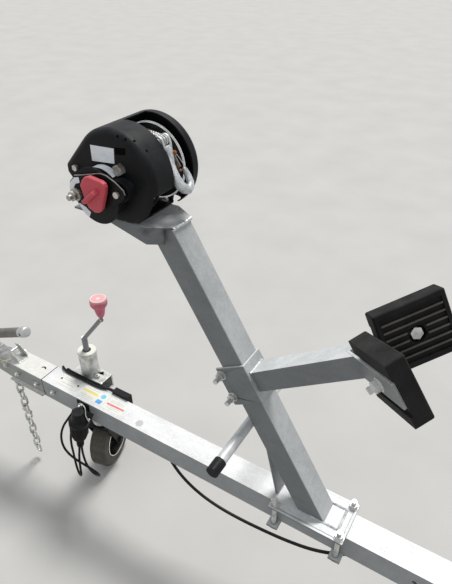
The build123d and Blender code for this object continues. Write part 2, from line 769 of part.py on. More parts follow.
# Winch bracket: flared plate on the post's top with tapered side flanges
plate_top = post_top_z + plate_t
plate_aft = post_foot_x - math.tan(lean) * (post_top_z - bar_top) + 3.0
plate_flare = 50.0
flare_x = plate_aft - plate_flare
plate_outline = [
    (plate_aft, -plate_neck_half), (flare_x, -plate_half), (plate_front, -plate_half),
    (plate_front, plate_half), (flare_x, plate_half), (plate_aft, plate_neck_half),
]
bracket_plate = floor_plate(plate_outline, post_top_z, plate_top)
flange_front = -765.0
flange_drop = 34.0
for side in (-1, 1):
    flange_aft = plate_aft - 18.0
    wall = floor_plate(
        [
            (flange_front, side * plate_half), (flare_x, side * plate_half),
            (flange_aft, side * (plate_neck_half + 9.5)), (flange_aft, side * (plate_neck_half + 5.0)),
            (flare_x - 1.5, side * (plate_half - 4.0)), (flange_front, side * (plate_half - 4.0)),
        ],
        post_top_z - flange_drop, post_top_z,
    )
    wedge = side_plate(
        [
            (flange_front - 10.0, post_top_z - 3.0), (flare_x, post_top_z - flange_drop),
            (plate_aft, post_top_z - flange_drop), (plate_aft, post_top_z - 200.0),
            (flange_front - 10.0, post_top_z - 200.0),
        ],
        -100, 100,
    )
    bracket_plate += wall - wedge
save(bracket_plate, "winch_bracket")

# Winch frame: base with a window and two side plates
base_top = plate_top + frame_t
winch_frame = block(frame_front, frame_aft, frame_near, frame_far, plate_top, base_top)
winch_frame -= block(
    winch_x - 44.0, frame_aft - 10.0, frame_near + 8.0, frame_far - 8.0, plate_top - 1, base_top + 1,
)
cheek_r = 60.0
frame_foot = Rectangle(frame_aft - frame_front, 1.0, align=(Align.CENTER, Align.MIN))
cheek_outline = make_hull(
    (Pos(winch_x, winch_z) * Circle(cheek_r)).edges()
    + (Pos((frame_front + frame_aft) / 2, plate_top) * frame_foot).edges()
    + (Pos(cover_nose_x + 18.0, (cover_nose_high + cover_nose_low) / 2) * Circle(9.0)).edges()
)


def xz_face(face, y):
    """A face drawn in (x, z) put at y."""
    return Plane(origin=(0, y, 0), x_dir=(1, 0, 0), z_dir=(0, -1, 0)) * face


winch_frame += extrude(xz_face(cheek_outline, frame_near), frame_t, dir=(0, 1, 0))
winch_frame += extrude(xz_face(cheek_outline, frame_far - frame_t), frame_t, dir=(0, 1, 0))
for x, z in (cover_bolt, nose_bolt):
    winch_frame += rod((x, cover_near + cover_wall, z), (x, frame_near, z), cover_post_r)
    winch_frame += rod((x, frame_far, z), (x, cover_far - cover_wall, z), cover_post_r)
winch_frame -= rod((winch_x, -60, winch_z), (winch_x, 90, winch_z), shaft_r + 0.3)
save(winch_frame, "winch_frame")

# Winch cover: one hood over the frame, open at the aft top between its two ends
cover_low = base_top + 1.0


def hood(grow):
    """The hood's outline, grown or shrunk by an offset."""
    nose = Circle(cover_nose_r + grow)
    return make_hull(
        (Pos(winch_x, winch_z) * Circle(cover_r + grow)).edges()
        + (Pos(cover_nose_x + cover_nose_r, cover_nose_high - cover_nose_r) * nose).edges()
        + (Pos(cover_nose_x + cover_nose_r, cover_nose_low + cover_nose_r) * nose).edges()
        + (Pos(frame_front - 4.0, cover_low - 8.0) * nose).edges()
    )


def hood_block(inset):
    """The hood as a solid with rounded edges, shrunk all round by inset."""
    y0 = cover_near + inset
    y1 = cover_far - inset
    solid = extrude(xz_face(hood(-inset), y0), y1 - y0, dir=(0, 1, 0))
    ends = solid.edges().filter_by(lambda e: min(abs(e.center().Y - y0), abs(e.center().Y - y1)) < 0.1)
    return fillet(ends, cover_round - inset)


cover = hood_block(0) - hood_block(cover_wall)
cover -= block(-1000, -500, -100, 150, 600, cover_low)
cover -= block(winch_x - 14.0, -500, window_near, window_far, 600, 1000)
cover -= block(winch_x + 30.0, -500, cover_near + 5.0, window_near, 600, winch_z - 14.0)
save(cover, "winch_cover")

# Winch shaft, drum and gear
shaft = rod((winch_x, frame_near, winch_z), (winch_x, frame_far + 8.0, winch_z), shaft_r)
save(shaft, "winch_shaft")
bore_r = shaft_r + pin_clear
drum = rod((winch_x, drum_near, winch_z), (winch_x, drum_near + drum_flange_t, winch_z), drum_flange_r)
drum += rod((winch_x, drum_far - drum_flange_t, winch_z), (winch_x, drum_far, winch_z), drum_flange_r)
drum += rod((winch_x, drum_near, winch_z), (winch_x, drum_far, winch_z), drum_core_r)
drum -= rod((winch_x, -100, winch_z), (winch_x, 100, winch_z), bore_r)
save(drum, "winch_drum")
rope_near = (winch_x, drum_near + drum_flange_t, winch_z)
rope_far = (winch_x, drum_far - drum_flange_t, winch_z)
rope = ring(rope_near, rope_far, rope_r, drum_core_r)
save(rope, "wound_rope")
tooth = math.radians(360.0 / gear_teeth)
gear_points = []
for n in range(gear_teeth):
    for share, r in ((0.0, gear_r - 5.0), (0.3, gear_r - 5.0), (0.45, gear_r), (0.85, gear_r)):
        a = (n + share) * tooth
        gear_points.append((winch_x + r * math.cos(a), winch_z + r * math.sin(a)))
gear = side_plate(gear_points, gear_near, gear_far)
gear += rod((winch_x, gear_far, winch_z), (winch_x, drum_near, winch_z), drum_core_r)
gear -= rod((winch_x, -100, winch_z), (winch_x, 100, winch_z), bore_r)
save(gear, "winch_gear")

# Drive: housing, disc, flange plate and turning knob on the winch's left side
drive_pose = Pos(drive_x, 0, drive_z) * Rot(0, -drive_tilt, 0)


def drive_outline(grow):
    return make_hull(
        Circle(drive_mid_r + grow).edges()
        + (Pos(-drive_ear, 0) * Circle(drive_ear_r + grow)).edges()
        + (Pos(drive_ear, 0) * Circle(drive_ear_r + grow)).edges()
    )


housing = extrude(xz_face(drive_outline(2.0), cover_near), cover_near - drive_back, dir=(0, -1, 0))
save(drive_pose * housing, "drive_housing")
disc_out = drive_back - disc_t
disc = rod((drive_x - 8.0, drive_back, drive_z - 8.0), (drive_x - 8.0, disc_out, drive_z - 8.0), disc_r)
save(disc, "drive_disc")
flange_out = disc_out - flange_t
drive_flange = drive_pose * extrude(xz_face(drive_outline(0), disc_out), flange_t, dir=(0, -1, 0))
save(drive_flange, "drive_flange")
knob_in = flange_out - 3.0
turn_knob_outline = [
    (-30.0, 4.0), (-16.0, 33.0), (8.0, 34.0), (29.0, 18.0), (26.0, -14.0), (4.0, -40.0), (-6.0, -40.0),
]
turn_knob_rib = [(-9.0, -34.0), (-1.0, -34.0), (9.0, 16.0), (1.0, 16.0)]
turn_knob_out = knob_in - turn_knob_t


def at_drive(points):
    """Points given from the drive's axis."""
    return [(drive_x + x, drive_z + z) for x, z in points]


turn_knob = side_plate(at_drive(turn_knob_outline), knob_in, turn_knob_out)
turn_knob += rod((drive_x, flange_out, drive_z), (drive_x, knob_in, drive_z), 18.0)
turn_knob += side_plate(at_drive(turn_knob_rib), turn_knob_out, turn_knob_out - 14.0)
save(turn_knob, "turning_knob")
ear_x = drive_ear * math.cos(math.radians(drive_tilt))
ear_z = drive_ear * math.sin(math.radians(drive_tilt))


def on_ear(sign, out):
    """A point on the axis of an ear's bolt, at a distance out from the flange plate."""
    return (drive_x + sign * ear_x, flange_out - out, drive_z + sign * ear_z)


drive_bolts = rod(on_ear(-1, 0), on_ear(-1, 5.0), 13.0)
drive_bolts += hexagon(on_ear(-1, 5.0), on_ear(-1, 15.0), 19.0)
drive_bolts += rod(on_ear(-1, 15.0), on_ear(-1, 24.0), 6.0)
small_bolt = rod(on_ear(1, 0), on_ear(1, 5.0), 6.5)
bolt_set = [drive_bolts, small_bolt]
for (x, z), head, across in ((cover_bolt, 12.0, 20.0), (nose_bolt, 6.0, 12.0)):
    bolt_set.append(hexagon((x, cover_near, z), (x, cover_near - head, z), across))
    bolt_set.append(hexagon((x, cover_far, z), (x, cover_far + 5.0, z), 12.0))
save(Compound(children=bolt_set), "winch_bolts")

# Hook: clevis on its pin, shank and bowl lying along the rope, with the latch
fall = math.radians(hook_fall)
hook_axis = Vector(math.cos(fall), 0, -math.sin(fall))
hook_pin_at = (hook_pin_x, hook_y, hook_pin_z)
hook_frame = Plane(origin=hook_pin_at, x_dir=hook_axis, z_dir=hook_axis.cross(Vector(0, 1, 0)))


def on_hook(shape):
    return hook_frame.location * shape


bend = [
    (20.0, 0.0), (34.0, -4.0), (52.0, -15.0), (84.0, -16.0),
    (hook_len - 12.0, -6.0), (hook_len - 12.0, 10.0), (92.0, 19.0), (64.0, 19.0),
]
hook_path = FilletPolyline(*[(u, v, 0.0) for u, v in bend], radius=[20.0, 20.0, 30.0, 14.0, 14.0, 20.0])
hook = sweep(Plane(origin=hook_path @ 0, z_dir=hook_path % 0) * Circle(hook_bar_r), path=hook_path)
clevis_half = 14.0
clevis_t = 6.0
clevis = block(12.0, 26.0, -clevis_half, clevis_half, -10.0, 10.0)
for side in (-1, 1):
    clevis += block(0, 14.0, side * clevis_half, side * (clevis_half - clevis_t), -10.0, 10.0)
    clevis += rod((0, side * clevis_half, 0), (0, side * (clevis_half - clevis_t), 0), 10.0)
hook += clevis
latch_foot = 28.0
latch_low = 8.6
latch_t = 1.6
latch_half = 4.0
hook += block(latch_foot, latch_foot + 12.0, -4.0, latch_low, -latch_half, latch_half)
hook -= rod((0, -30, 0), (0, 30, 0), hook_pin_r + pin_clear)
save(on_hook(hook), "hook")
latch = block(latch_foot, latch_foot + 32.0, latch_low, latch_low + latch_t, -latch_half, latch_half)
save(on_hook(latch), "hook_latch")
pin = on_hook(rod((0, -clevis_half - 6.0, 0), (0, clevis_half + 6.0, 0), hook_pin_r))
pin += on_hook(rod((0, -clevis_half - 8.0, 0), (0, -clevis_half - 0.4, 0), 8.0))
save(pin, "hook_pin")

# Rope end: thimble round the hook pin and the rope's tail lying on the wound rope
rope_tail_r = 3.0
eye_wall = 4.0
eye = ring(
    (hook_pin_x, hook_y - 4.0, hook_pin_z), (hook_pin_x, hook_y + 4.0, hook_pin_z),
    hook_pin_r + pin_clear + eye_wall, hook_pin_r + pin_clear,
)
tail_start = (hook_pin_x - 7.0, hook_y, hook_pin_z + 4.5)
tail_end = (winch_x + 10.0, hook_y - 6.0, winch_z + rope_r + rope_tail_r + 0.4)
rope_end = eye + rod(tail_start, tail_end, rope_tail_r)
save(rope_end, "rope_end")

# Plug hanging in its holder. Its own frame: down along the plug from the top of the holder
drop_angle = math.radians(plug_lean)
plug_down = Vector(-math.sin(drop_angle), 0, -math.cos(drop_angle))
plug_frame = Plane(origin=(plug_top_x, plug_y, plug_top_z), x_dir=(0, 1, 0), z_dir=plug_down)


def on_plug(shape):
    return plug_frame.location * shape


def turned(profile):
    """A round piece given as (radius, distance down), turned about the plug's centre line."""
    face = make_face(Polyline(*[(r, 0, down) for r, down in profile], close=True))
    return revolve(face, axis=Axis.Z)


ring_end = plug_ring_at + plug_ring_h
plug = turned([
    (0, 6.0), (15.0, 6.0), (19.0, plug_ring_at - 8.0), (plug_r - 4.0, plug_ring_at), (plug_r - 4.0, ring_end),
    (plug_r, ring_end + 2.0), (plug_r, plug_neck_at - 30.0), (plug_r - 6.0, plug_neck_at - 8.0),
    (plug_neck_r + 2.0, plug_neck_at), (plug_neck_r, plug_end_at), (0, plug_end_at),
])
save(on_plug(plug), "plug")
skin_gap = 0.3
holder = turned([
    (0, 0), (17.0, 0), (22.0, plug_ring_at - 8.0), (plug_ring_r, plug_ring_at), (plug_ring_r, ring_end),
    (plug_r - 4.0 + skin_gap, ring_end), (plug_r - 4.0 + skin_gap, plug_ring_at),
    (19.0 + skin_gap, plug_ring_at - 8.0), (15.0 + skin_gap, 6.0 - skin_gap), (0, 6.0 - skin_gap),
])
holder = on_plug(holder)
plate_out = -half - holder_plate_t
bolt_x, bolt_z = holder_bolt
holder += block(bolt_x - 18.0, bolt_x + 30.0, plate_out, -half, -30.0, 30.0)
holder += block(bolt_x + 9.0, bolt_x + 27.0, plug_y, plate_out, -12.0, 10.0)
holder -= on_plug(turned([
    (0, 6.0 - skin_gap), (15.0 + skin_gap, 6.0 - skin_gap), (19.0 + skin_gap, plug_ring_at - 8.0),
    (plug_r - 4.0 + skin_gap, plug_ring_at), (plug_r - 4.0 + skin_gap, ring_end), (0, ring_end),
]))
holder -= rod((bolt_x, -half - 10.0, bolt_z), (bolt_x, -half, bolt_z), 4.0 + bolt_clear)
save(holder, "plug_holder")
bolt = rod((bolt_x, -half, bolt_z), (bolt_x, plate_out - 13.0, bolt_z), 4.0)
bolt += hexagon((bolt_x, plate_out, bolt_z), (bolt_x, plate_out - 7.0, bolt_z), 13.0)
save(bolt, "plug_holder_bolt")


def cable(route, r, node, label):
    """A round cable: straight runs with tangent arcs as large as the runs allow."""
    points = [Vector(*p) for p in route]
    radii = []
    for before, at, after in zip(points, points[1:], points[2:]):
        turn = math.radians((at - before).get_angle(after - at))
        run = min((at - before).length, (after - at).length)
        radii.append(0.45 * run / math.tan(turn / 2))
    path = FilletPolyline(*route, radius=radii)
    tube = sweep(Plane(origin=path @ 0, z_dir=path % 0) * Circle(r), path=path)
    print(label, "length", round(path.length, 1), "radii", [round(value) for value in radii])
    print(label, "volume share", round(tube.volume / (math.pi * r * r * path.length), 4))
    if node:
        save(tube, node)
    return tube


# The plug's two cables: out of glands under the drawbar, down, round and up into the plug's neck
long_route = [
    (-1078, -22, -41), (-1078, -22, -60), (-1086, -44, -80), (-1101, -60, -110), (-1106, -74, -148),
    (-1086, -88, -172), (-1048, -97, -178), (-1008, -100, -178), (-968, -97, -184), (-946, -89, -204),
    (-944, -80, -230), (-966, -73, -252), (-1000, -68, -260), (-1020, -66, -236), (-1024, -66, -198),
    (-1020.2, -68, -162.5), (-1017.1, -68, -142.8),
]
short_route = [
    (-1052, -22, -41), (-1052, -22, -60), (-1059, -46, -82), (-1066, -62, -118), (-1069, -68, -164),
    (-1071, -67, -212), (-1074, -66, -250), (-1066, -72, -281), (-1043, -84, -289), (-1022, -92, -270),
    (-1022, -90, -238), (-1029, -80, -196), (-1030.5, -68, -161), (-1027.4, -68, -141.2),
]
cable(long_route, cable_r, "plug_cable_long", "long plug cable")
cable(short_route, cable_r, "plug_cable_short", "short plug cable")

# The lighting harness sags under the drawbar from one gland to another
harness_route = [
    (-728, 4, -41), (-728, 4, -62), (-704, 0, -98), (-664, -3, -136), (-608, -4, -166), (-545, -2, -184),
    (-478, 3, -194), (-402, 5, -190), (-325, 2, -172), (-252, -3, -142), (-190, -4, -104), (-140, 1, -66),
    (-140, 1, -41),
]
cable(harness_route, harness_r, "harness_cable", "harness")
glands = [
    rod((x, y, z), (x, y, -half), gland_r)
    for x, y, z in (long_route[0], short_route[0], harness_route[0], harness_route[-1])
]
save(Compound(children=glands), "cable_glands")

# Junction box on the drawbar's right side, and the two leads from it along the drawbar's top edge
lead_box = block(*lead_box_x, half, half + lead_box_w, lead_box_low, lead_box_high)
lead_box = fillet(lead_box.edges().filter_by(Axis.Y), 2.0)
save(lead_box, "lead_box")
outer_lead = [
    (-950, 50, 30), (-968, 50, 30), (-994, 41.5, 38.5), (-1040, 38.4, 39.6), (-1090, 38.2, 39.4),
    (-1130, 38.8, 39.8), (-1146, 42.5, 38), (-1154, 43, 26), (-1155, 41, 13), (-1155, 41, 0),
]
inner_lead = [
    (-950, 41, 40), (-968, 41, 40), (-996, 31.5, 40), (-1040, 29.8, 39.5), (-1088, 29.6, 39.7),
    (-1130, 30.2, 39.6), (-1154, 34, 42), (-1167, 42, 40.5), (-1169, 42.5, 26), (-1169, 41, 13),
    (-1169, 41, 0),
]
leads = [
    cable(outer_lead, lead_r, None, "outer lead"),
    cable(inner_lead, lead_r, None, "inner lead"),
]
save(Compound(children=leads), "top_leads")
lead_gland = block(*lead_gland_x, half, half + lead_gland_w, -lead_gland_h, 0)
lead_gland = fillet(lead_gland.edges().filter_by(Axis.Y), 3.0)
save(lead_gland, "lead_gland")
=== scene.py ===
"""Looks of the boat trailer's drawbar nose with its winch post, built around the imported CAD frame."""

import json
import math
import random

import bmesh
import bpy
from mathutils import Matrix, Vector
from mathutils.bvhtree import BVHTree


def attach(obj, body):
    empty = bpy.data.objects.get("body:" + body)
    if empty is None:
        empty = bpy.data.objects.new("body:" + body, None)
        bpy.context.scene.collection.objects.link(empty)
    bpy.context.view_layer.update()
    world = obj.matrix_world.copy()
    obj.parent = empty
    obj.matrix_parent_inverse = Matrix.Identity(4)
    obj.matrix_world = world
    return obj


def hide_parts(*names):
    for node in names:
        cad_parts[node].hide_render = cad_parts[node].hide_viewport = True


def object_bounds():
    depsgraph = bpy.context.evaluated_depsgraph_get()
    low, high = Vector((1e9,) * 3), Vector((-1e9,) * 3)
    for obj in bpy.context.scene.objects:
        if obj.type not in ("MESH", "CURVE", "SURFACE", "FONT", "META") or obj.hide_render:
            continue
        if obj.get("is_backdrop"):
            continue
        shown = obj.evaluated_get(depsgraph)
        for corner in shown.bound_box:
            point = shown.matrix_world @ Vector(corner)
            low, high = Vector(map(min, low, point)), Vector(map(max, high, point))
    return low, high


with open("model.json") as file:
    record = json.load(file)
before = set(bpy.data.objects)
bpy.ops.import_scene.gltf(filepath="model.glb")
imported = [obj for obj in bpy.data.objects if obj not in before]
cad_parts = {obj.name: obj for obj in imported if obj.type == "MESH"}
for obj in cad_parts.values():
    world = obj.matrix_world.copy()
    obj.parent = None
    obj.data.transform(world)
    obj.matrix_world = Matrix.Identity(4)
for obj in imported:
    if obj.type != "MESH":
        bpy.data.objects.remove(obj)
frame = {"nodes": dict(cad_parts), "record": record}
cad_low, cad_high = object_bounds()
nodes = frame["nodes"]
random.seed(7)

# Lengths are in millimetres in the CAD frame, except where a name ends in _M or a comment says metres
MM = 0.001
FLOOR_Z_M = -0.412
JOIN_GAP_M = 0.00002
BAR_TOP = 35.0
EYE = Vector((-25.9, -773.4, 1221.1))
ROOT = "drawbar_frame"


# Camera: found from the photograph, in the CAD frame
def make_camera():
    data = bpy.data.cameras.new("camera")
    data.lens = 32.91
    data.sensor_width = 36.0
    data.sensor_fit = "AUTO"
    data.clip_end = 50.0
    forward = Vector((-0.4374, 0.6972, -0.5679)).normalized()
    down = Vector((0.2924, -0.487, -0.823))
    up = -(down - forward * down.dot(forward)).normalized()
    right = forward.cross(up)
    camera = bpy.data.objects.new("camera", data)
    turn = Matrix((right, up, -forward)).transposed().to_4x4()
    camera.matrix_world = Matrix.Translation(EYE * MM) @ turn
    bpy.context.scene.collection.objects.link(camera)
    bpy.context.scene.camera = camera


make_camera()


# Materials
class Nodes:
    """Adds nodes to a node tree and joins them."""

    def __init__(self, tree):
        self.tree = tree

    def feed(self, socket, value):
        """Links an output to the socket or sets its value; a colour is given without its alpha."""
        if isinstance(value, bpy.types.NodeSocket):
            self.tree.links.new(value, socket)
        elif socket.type == "RGBA":
            socket.default_value = (*value, 1.0)
        else:
            socket.default_value = value

    def add(self, kind, links=None, **props):
        node = self.tree.nodes.new(kind)
        for key, value in props.items():
            setattr(node, key, value)
        for key, value in (links or {}).items():
            self.feed(node.inputs[key], value)
        return node

    def math(self, operation, a, b=0.0):
        return self.add("ShaderNodeMath", {0: a, 1: b}, operation=operation).outputs[0]

    def looked_at(self):
        """1 for rays from the camera, also mirrored or through glass, and 0 for light that bounces."""
        rays = self.add("ShaderNodeLightPath").outputs
        indirect = self.math("MAXIMUM", rays["Is Glossy Ray"], rays["Is Transmission Ray"])
        return self.math("MAXIMUM", rays["Is Camera Ray"], indirect)


class Surface(Nodes):
    """A procedural material on object coordinates, whose frame is the CAD frame in metres."""

    def __init__(self, name, rough=0.5, metallic=0.0, **sockets):
        self.made = bpy.data.materials.new(name)
        self.made.use_nodes = True
        super().__init__(self.made.node_tree)
        self.shader = self.tree.nodes["Principled BSDF"]
        self.spot = self.add("ShaderNodeTexCoord").outputs["Object"]
        self.set("Roughness", rough)
        self.set("Metallic", metallic)
        for key, value in sockets.items():
            self.set(key.replace("_", " "), value)

    def set(self, key, value):
        self.feed(self.shader.inputs[key], value)

    def stretched(self, scale):
        return self.add("ShaderNodeMapping", {"Vector": self.spot, "Scale": scale}).outputs["Vector"]

    def noise(self, scale, detail=2.0, vector=None, distortion=0.0):
        links = {"Vector": vector or self.spot, "Scale": scale, "Detail": detail, "Distortion": distortion}
        return self.add("ShaderNodeTexNoise", links).outputs["Fac"]

    def span(self, value, low, high, to_low=0.0, to_high=1.0):
        links = {"Value": value, "From Min": low, "From Max": high, "To Min": to_low, "To Max": to_high}
        return self.add("ShaderNodeMapRange", links).outputs["Result"]

    def ramp(self, value, stops):
        node = self.add("ShaderNodeValToRGB", {"Fac": value})
        points = node.color_ramp.elements
        while len(points) < len(stops):
            points.new(0.5)
        for point, (at, colour) in zip(points, stops):
            point.position = at
            point.color = (*colour, 1.0)
        return node.outputs["Color"]

    def blend(self, share, a, b, kind="MIX"):
        node = self.add("ShaderNodeMix", {"Factor": share}, data_type="RGBA", blend_type=kind)
        self.feed(node.inputs[6], a)
        self.feed(node.inputs[7], b)
        return node.outputs[2]

    def bump(self, height, depth, under=None):
        """Adds a bump of a depth in metres over the one below it."""
        links = {"Height": height, "Distance": depth, "Strength": 1.0}
        if under is not None:
            links["Normal"] = under
        normal = self.add("ShaderNodeBump", links).outputs["Normal"]
        self.set("Normal", normal)
        return normal

    def height(self):
        """Height in metres over the frame's origin."""
        return self.add("ShaderNodeSeparateXYZ", {"Vector": self.spot}).outputs["Z"]

    def upward(self):
        """1 where the surface faces the sky, 0 on a wall, negative underneath."""
        normal = self.add("ShaderNodeNewGeometry").outputs["Normal"]
        return self.add("ShaderNodeSeparateXYZ", {"Vector": normal}).outputs["Z"]

    def along(self, direction):
        """Distance along a direction, in metres."""
        node = self.add("ShaderNodeVectorMath", {0: self.spot, 1: direction}, operation="DOT_PRODUCT")
        return node.outputs["Value"]


def galvanised(name, dark, light, smudged=False, side=0.30):
    """Spangled zinc coat; painted shade makes walls darker than what faces the sky, by the share called side.
    """
    s = Surface(name, metallic=0.10)
    warp = s.noise(60, 2)
    moved = s.add("ShaderNodeVectorMath", {0: s.spot, 1: warp}, operation="ADD").outputs[0]
    cell = s.add("ShaderNodeTexVoronoi", {"Vector": moved, "Scale": 95}).outputs["Color"]
    blotch = s.noise(9, 4, distortion=0.6)
    streak = s.noise(1, 4, vector=s.stretched((14, 60, 60)))
    fine = s.noise(500, 3)
    coarse = s.math("ADD", s.math("MULTIPLY", cell, 0.32), s.math("MULTIPLY", blotch, 0.38))
    subtle = s.math("ADD", s.math("MULTIPLY", streak, 0.18), s.math("MULTIPLY", fine, 0.16))
    colour = s.ramp(s.math("ADD", coarse, subtle), [(0.30, dark), (0.66, light)])
    if smudged:
        stain = s.span(s.noise(16, 5, distortion=1.4), 0.52, 0.66)
        colour = s.blend(s.math("MULTIPLY", stain, 0.72), colour, (0.10, 0.105, 0.11))
    # Painted shade: walls take the colour times side, which fades out as the surface turns to the sky
    wall = s.blend(1.0, colour, (side * 0.96, side, side * 1.03), "MULTIPLY")
    s.set("Base Color", s.blend(s.span(s.upward(), 0.0, 0.88), wall, colour))
    s.set("Roughness", s.span(s.math("ADD", cell, fine), 0.4, 1.5, 0.34, 0.60))
    low = s.bump(blotch, 0.0006)
    low = s.bump(cell, 0.00012, low)
    s.bump(fine, 0.00012, low)
    return s.made


def plated(name, colour, rough, wear, metallic, rust=0.0):
    """Plated or bare metal: a clouded colour that is worn in places, with rust spots where rust is over 0."""
    s = Surface(name, metallic=metallic)
    cloud = s.noise(45, 4, distortion=0.5)
    fine = s.noise(700, 3)
    shade = s.ramp(s.math("ADD", s.math("MULTIPLY", cloud, 0.7), s.math("MULTIPLY", fine, 0.3)),
                   [(0.34, wear), (0.58, colour)])
    if rust:
        spots = s.span(s.noise(120, 4), 0.62 - rust, 0.68 - rust)
        shade = s.blend(spots, shade, (0.33, 0.10, 0.025))
        s.set("Metallic", s.span(spots, 0.0, 1.0, metallic, 0.0))
    s.set("Base Color", shade)
    s.set("Roughness", s.span(fine, 0.3, 0.7, rough - 0.06, rough + 0.12))
    s.bump(fine, 0.00008, s.bump(cloud, 0.0002))
    return s.made


def rough_cast(name, colour, dark):
    """Cast or forged metal with pits."""
    s = Surface(name, metallic=0.6)
    pits = s.noise(260, 4)
    cloud = s.noise(28, 3)
    mean = s.math("MULTIPLY", s.math("ADD", pits, cloud), 0.5)
    s.set("Base Color", s.ramp(mean, [(0.36, dark), (0.60, colour)]))
    s.set("Roughness", s.span(pits, 0.3, 0.7, 0.32, 0.58))
    s.bump(pits, 0.0004, s.bump(cloud, 0.0005))
    return s.made


def moulded(name, colour, dusty, rough, grain=1100, depth=0.00005, dust=0.25, **sockets):
    """Moulded plastic, rubber or powder coat: fine grain, uneven sheen and a little dust on top."""
    s = Surface(name, **sockets)
    cells = s.noise(grain, 2)
    cloud = s.noise(22, 5, distortion=0.4)
    fleck = s.span(s.noise(320, 3), 0.60, 0.74)
    settled = s.math("MULTIPLY", s.span(s.upward(), 0.1, 0.95), s.span(cloud, 0.35, 0.70))
    share = s.math("MULTIPLY", s.math("ADD", settled, s.math("MULTIPLY", fleck, 0.5)), dust)
    clean = s.ramp(cloud, [(0.3, tuple(c * 0.8 for c in colour)), (0.7, colour)])
    s.set("Base Color", s.blend(share, clean, dusty))
    s.set("Roughness", s.span(s.math("ADD", cells, cloud), 0.6, 1.4, rough - 0.08, rough + 0.12))
    s.bump(cells, depth, s.bump(cloud, 0.0001))
    return s.made


def tyre_rubber(name):
    """Grey-brown tread rubber with scuffs round the tyre."""
    s = Surface(name)
    cloud = s.noise(26, 5, distortion=0.8)
    fine = s.noise(420, 4)
    scuff = s.span(s.noise(1, 4, vector=s.stretched((90, 90, 25))), 0.55, 0.75)
    colour = s.ramp(cloud, [(0.3, (0.062, 0.060, 0.048)), (0.7, (0.115, 0.110, 0.088))])
    s.set("Base Color", s.blend(s.math("MULTIPLY", scuff, 0.45), colour, (0.22, 0.21, 0.18)))
    s.set("Roughness", s.span(fine, 0.3, 0.7, 0.72, 0.92))
    s.bump(fine, 0.00025, s.bump(cloud, 0.0005))
    return s.made


def pink_knob(name):
    """Red plastic, bleached at the knob's upper rim."""
    s = Surface(name)
    cloud = s.noise(70, 4)
    faded = s.span(s.math("ADD", s.height(), s.math("MULTIPLY", cloud, 0.010)), 0.354, 0.362)
    red = s.ramp(cloud, [(0.3, (0.54, 0.11, 0.17)), (0.7, (0.68, 0.18, 0.25))])
    s.set("Base Color", s.blend(faded, red, (0.78, 0.42, 0.44)))
    s.set("Roughness", s.span(cloud, 0.3, 0.7, 0.38, 0.55))
    s.bump(s.noise(900, 2), 0.00004, s.bump(cloud, 0.0002))
    return s.made


# The coupling handle's line at rest, from its elbow to the start of its end cap, in metres
HANDLE_RISE = math.radians(24)
HANDLE_DIRECTION = Vector((math.cos(HANDLE_RISE), 0.0, math.sin(HANDLE_RISE)))
HANDLE_ELBOW_M = Vector((-1.472, 0.0, 0.078))
HANDLE_TO_CAP_M = 0.2115
LUG_TOP_M = 0.062


def handle_coat(name):
    """Grey-brown coating, worn through to bright zinc at the grip's end cap and on the lugs."""
    s = Surface(name)
    cloud = s.noise(40, 4, distortion=0.6)
    fine = s.noise(620, 3)
    cap_start = HANDLE_ELBOW_M.dot(HANDLE_DIRECTION) + HANDLE_TO_CAP_M
    cap = s.span(s.along(HANDLE_DIRECTION), cap_start, cap_start + 0.001)
    lug = s.span(s.height(), LUG_TOP_M, LUG_TOP_M - 0.004)
    bare = s.math("MAXIMUM", cap, lug)
    grey = s.ramp(cloud, [(0.3, (0.13, 0.12, 0.105)), (0.7, (0.20, 0.185, 0.165))])
    zinc = s.ramp(fine, [(0.3, (0.42, 0.42, 0.41)), (0.7, (0.72, 0.73, 0.72))])
    s.set("Base Color", s.blend(bare, grey, zinc))
    s.set("Metallic", s.span(bare, 0.0, 1.0, 0.2, 0.85))
    s.set("Roughness", s.span(fine, 0.3, 0.7, 0.34, 0.52))
    s.bump(fine, 0.00012, s.bump(cloud, 0.0003))
    return s.made


def greased(name):
    """Steel under dark grease that is rubbed off in places."""
    s = Surface(name)
    cloud = s.noise(120, 4)
    grease = s.span(cloud, 0.42, 0.58)
    s.set("Base Color", s.blend(grease, (0.42, 0.36, 0.26), (0.06, 0.05, 0.035)))
    s.set("Metallic", s.span(grease, 0.0, 1.0, 0.8, 0.1))
    s.set("Roughness", s.span(grease, 0.0, 1.0, 0.42, 0.22))
    s.bump(cloud, 0.0004)
    return s.made


def painted_reflection_rim(name):
    """Turned rim that glows by emission, a painted reflection of the open sky."""
    s = Surface(name, rough=0.25, metallic=0.8)
    cloud = s.noise(40, 3)
    painted_sky_tone = s.ramp(cloud, [(0.3, (0.86, 0.88, 0.90)), (0.7, (0.96, 0.97, 0.98))])
    s.set("Base Color", painted_sky_tone)
    # Emission is the painted reflection, which glows whatever the light
    s.set("Emission Color", painted_sky_tone)
    s.set("Emission Strength", s.span(cloud, 0.3, 0.7, 0.34, 0.52))
    return s.made


def printed(name, paper, ink, amount):
    """Plain weathered sticker film: paper colour with faint uneven fading, no marks."""
    s = Surface(name, rough=0.5)
    fade = s.noise(60, 4)
    s.set("Base Color", s.blend(s.math("MULTIPLY", s.span(fade, 0.45, 0.75), amount), paper, ink))
    s.set("Roughness", s.span(fade, 0.3, 0.7, 0.38, 0.6))
    s.bump(s.noise(300, 2), 0.00003)
    return s.made


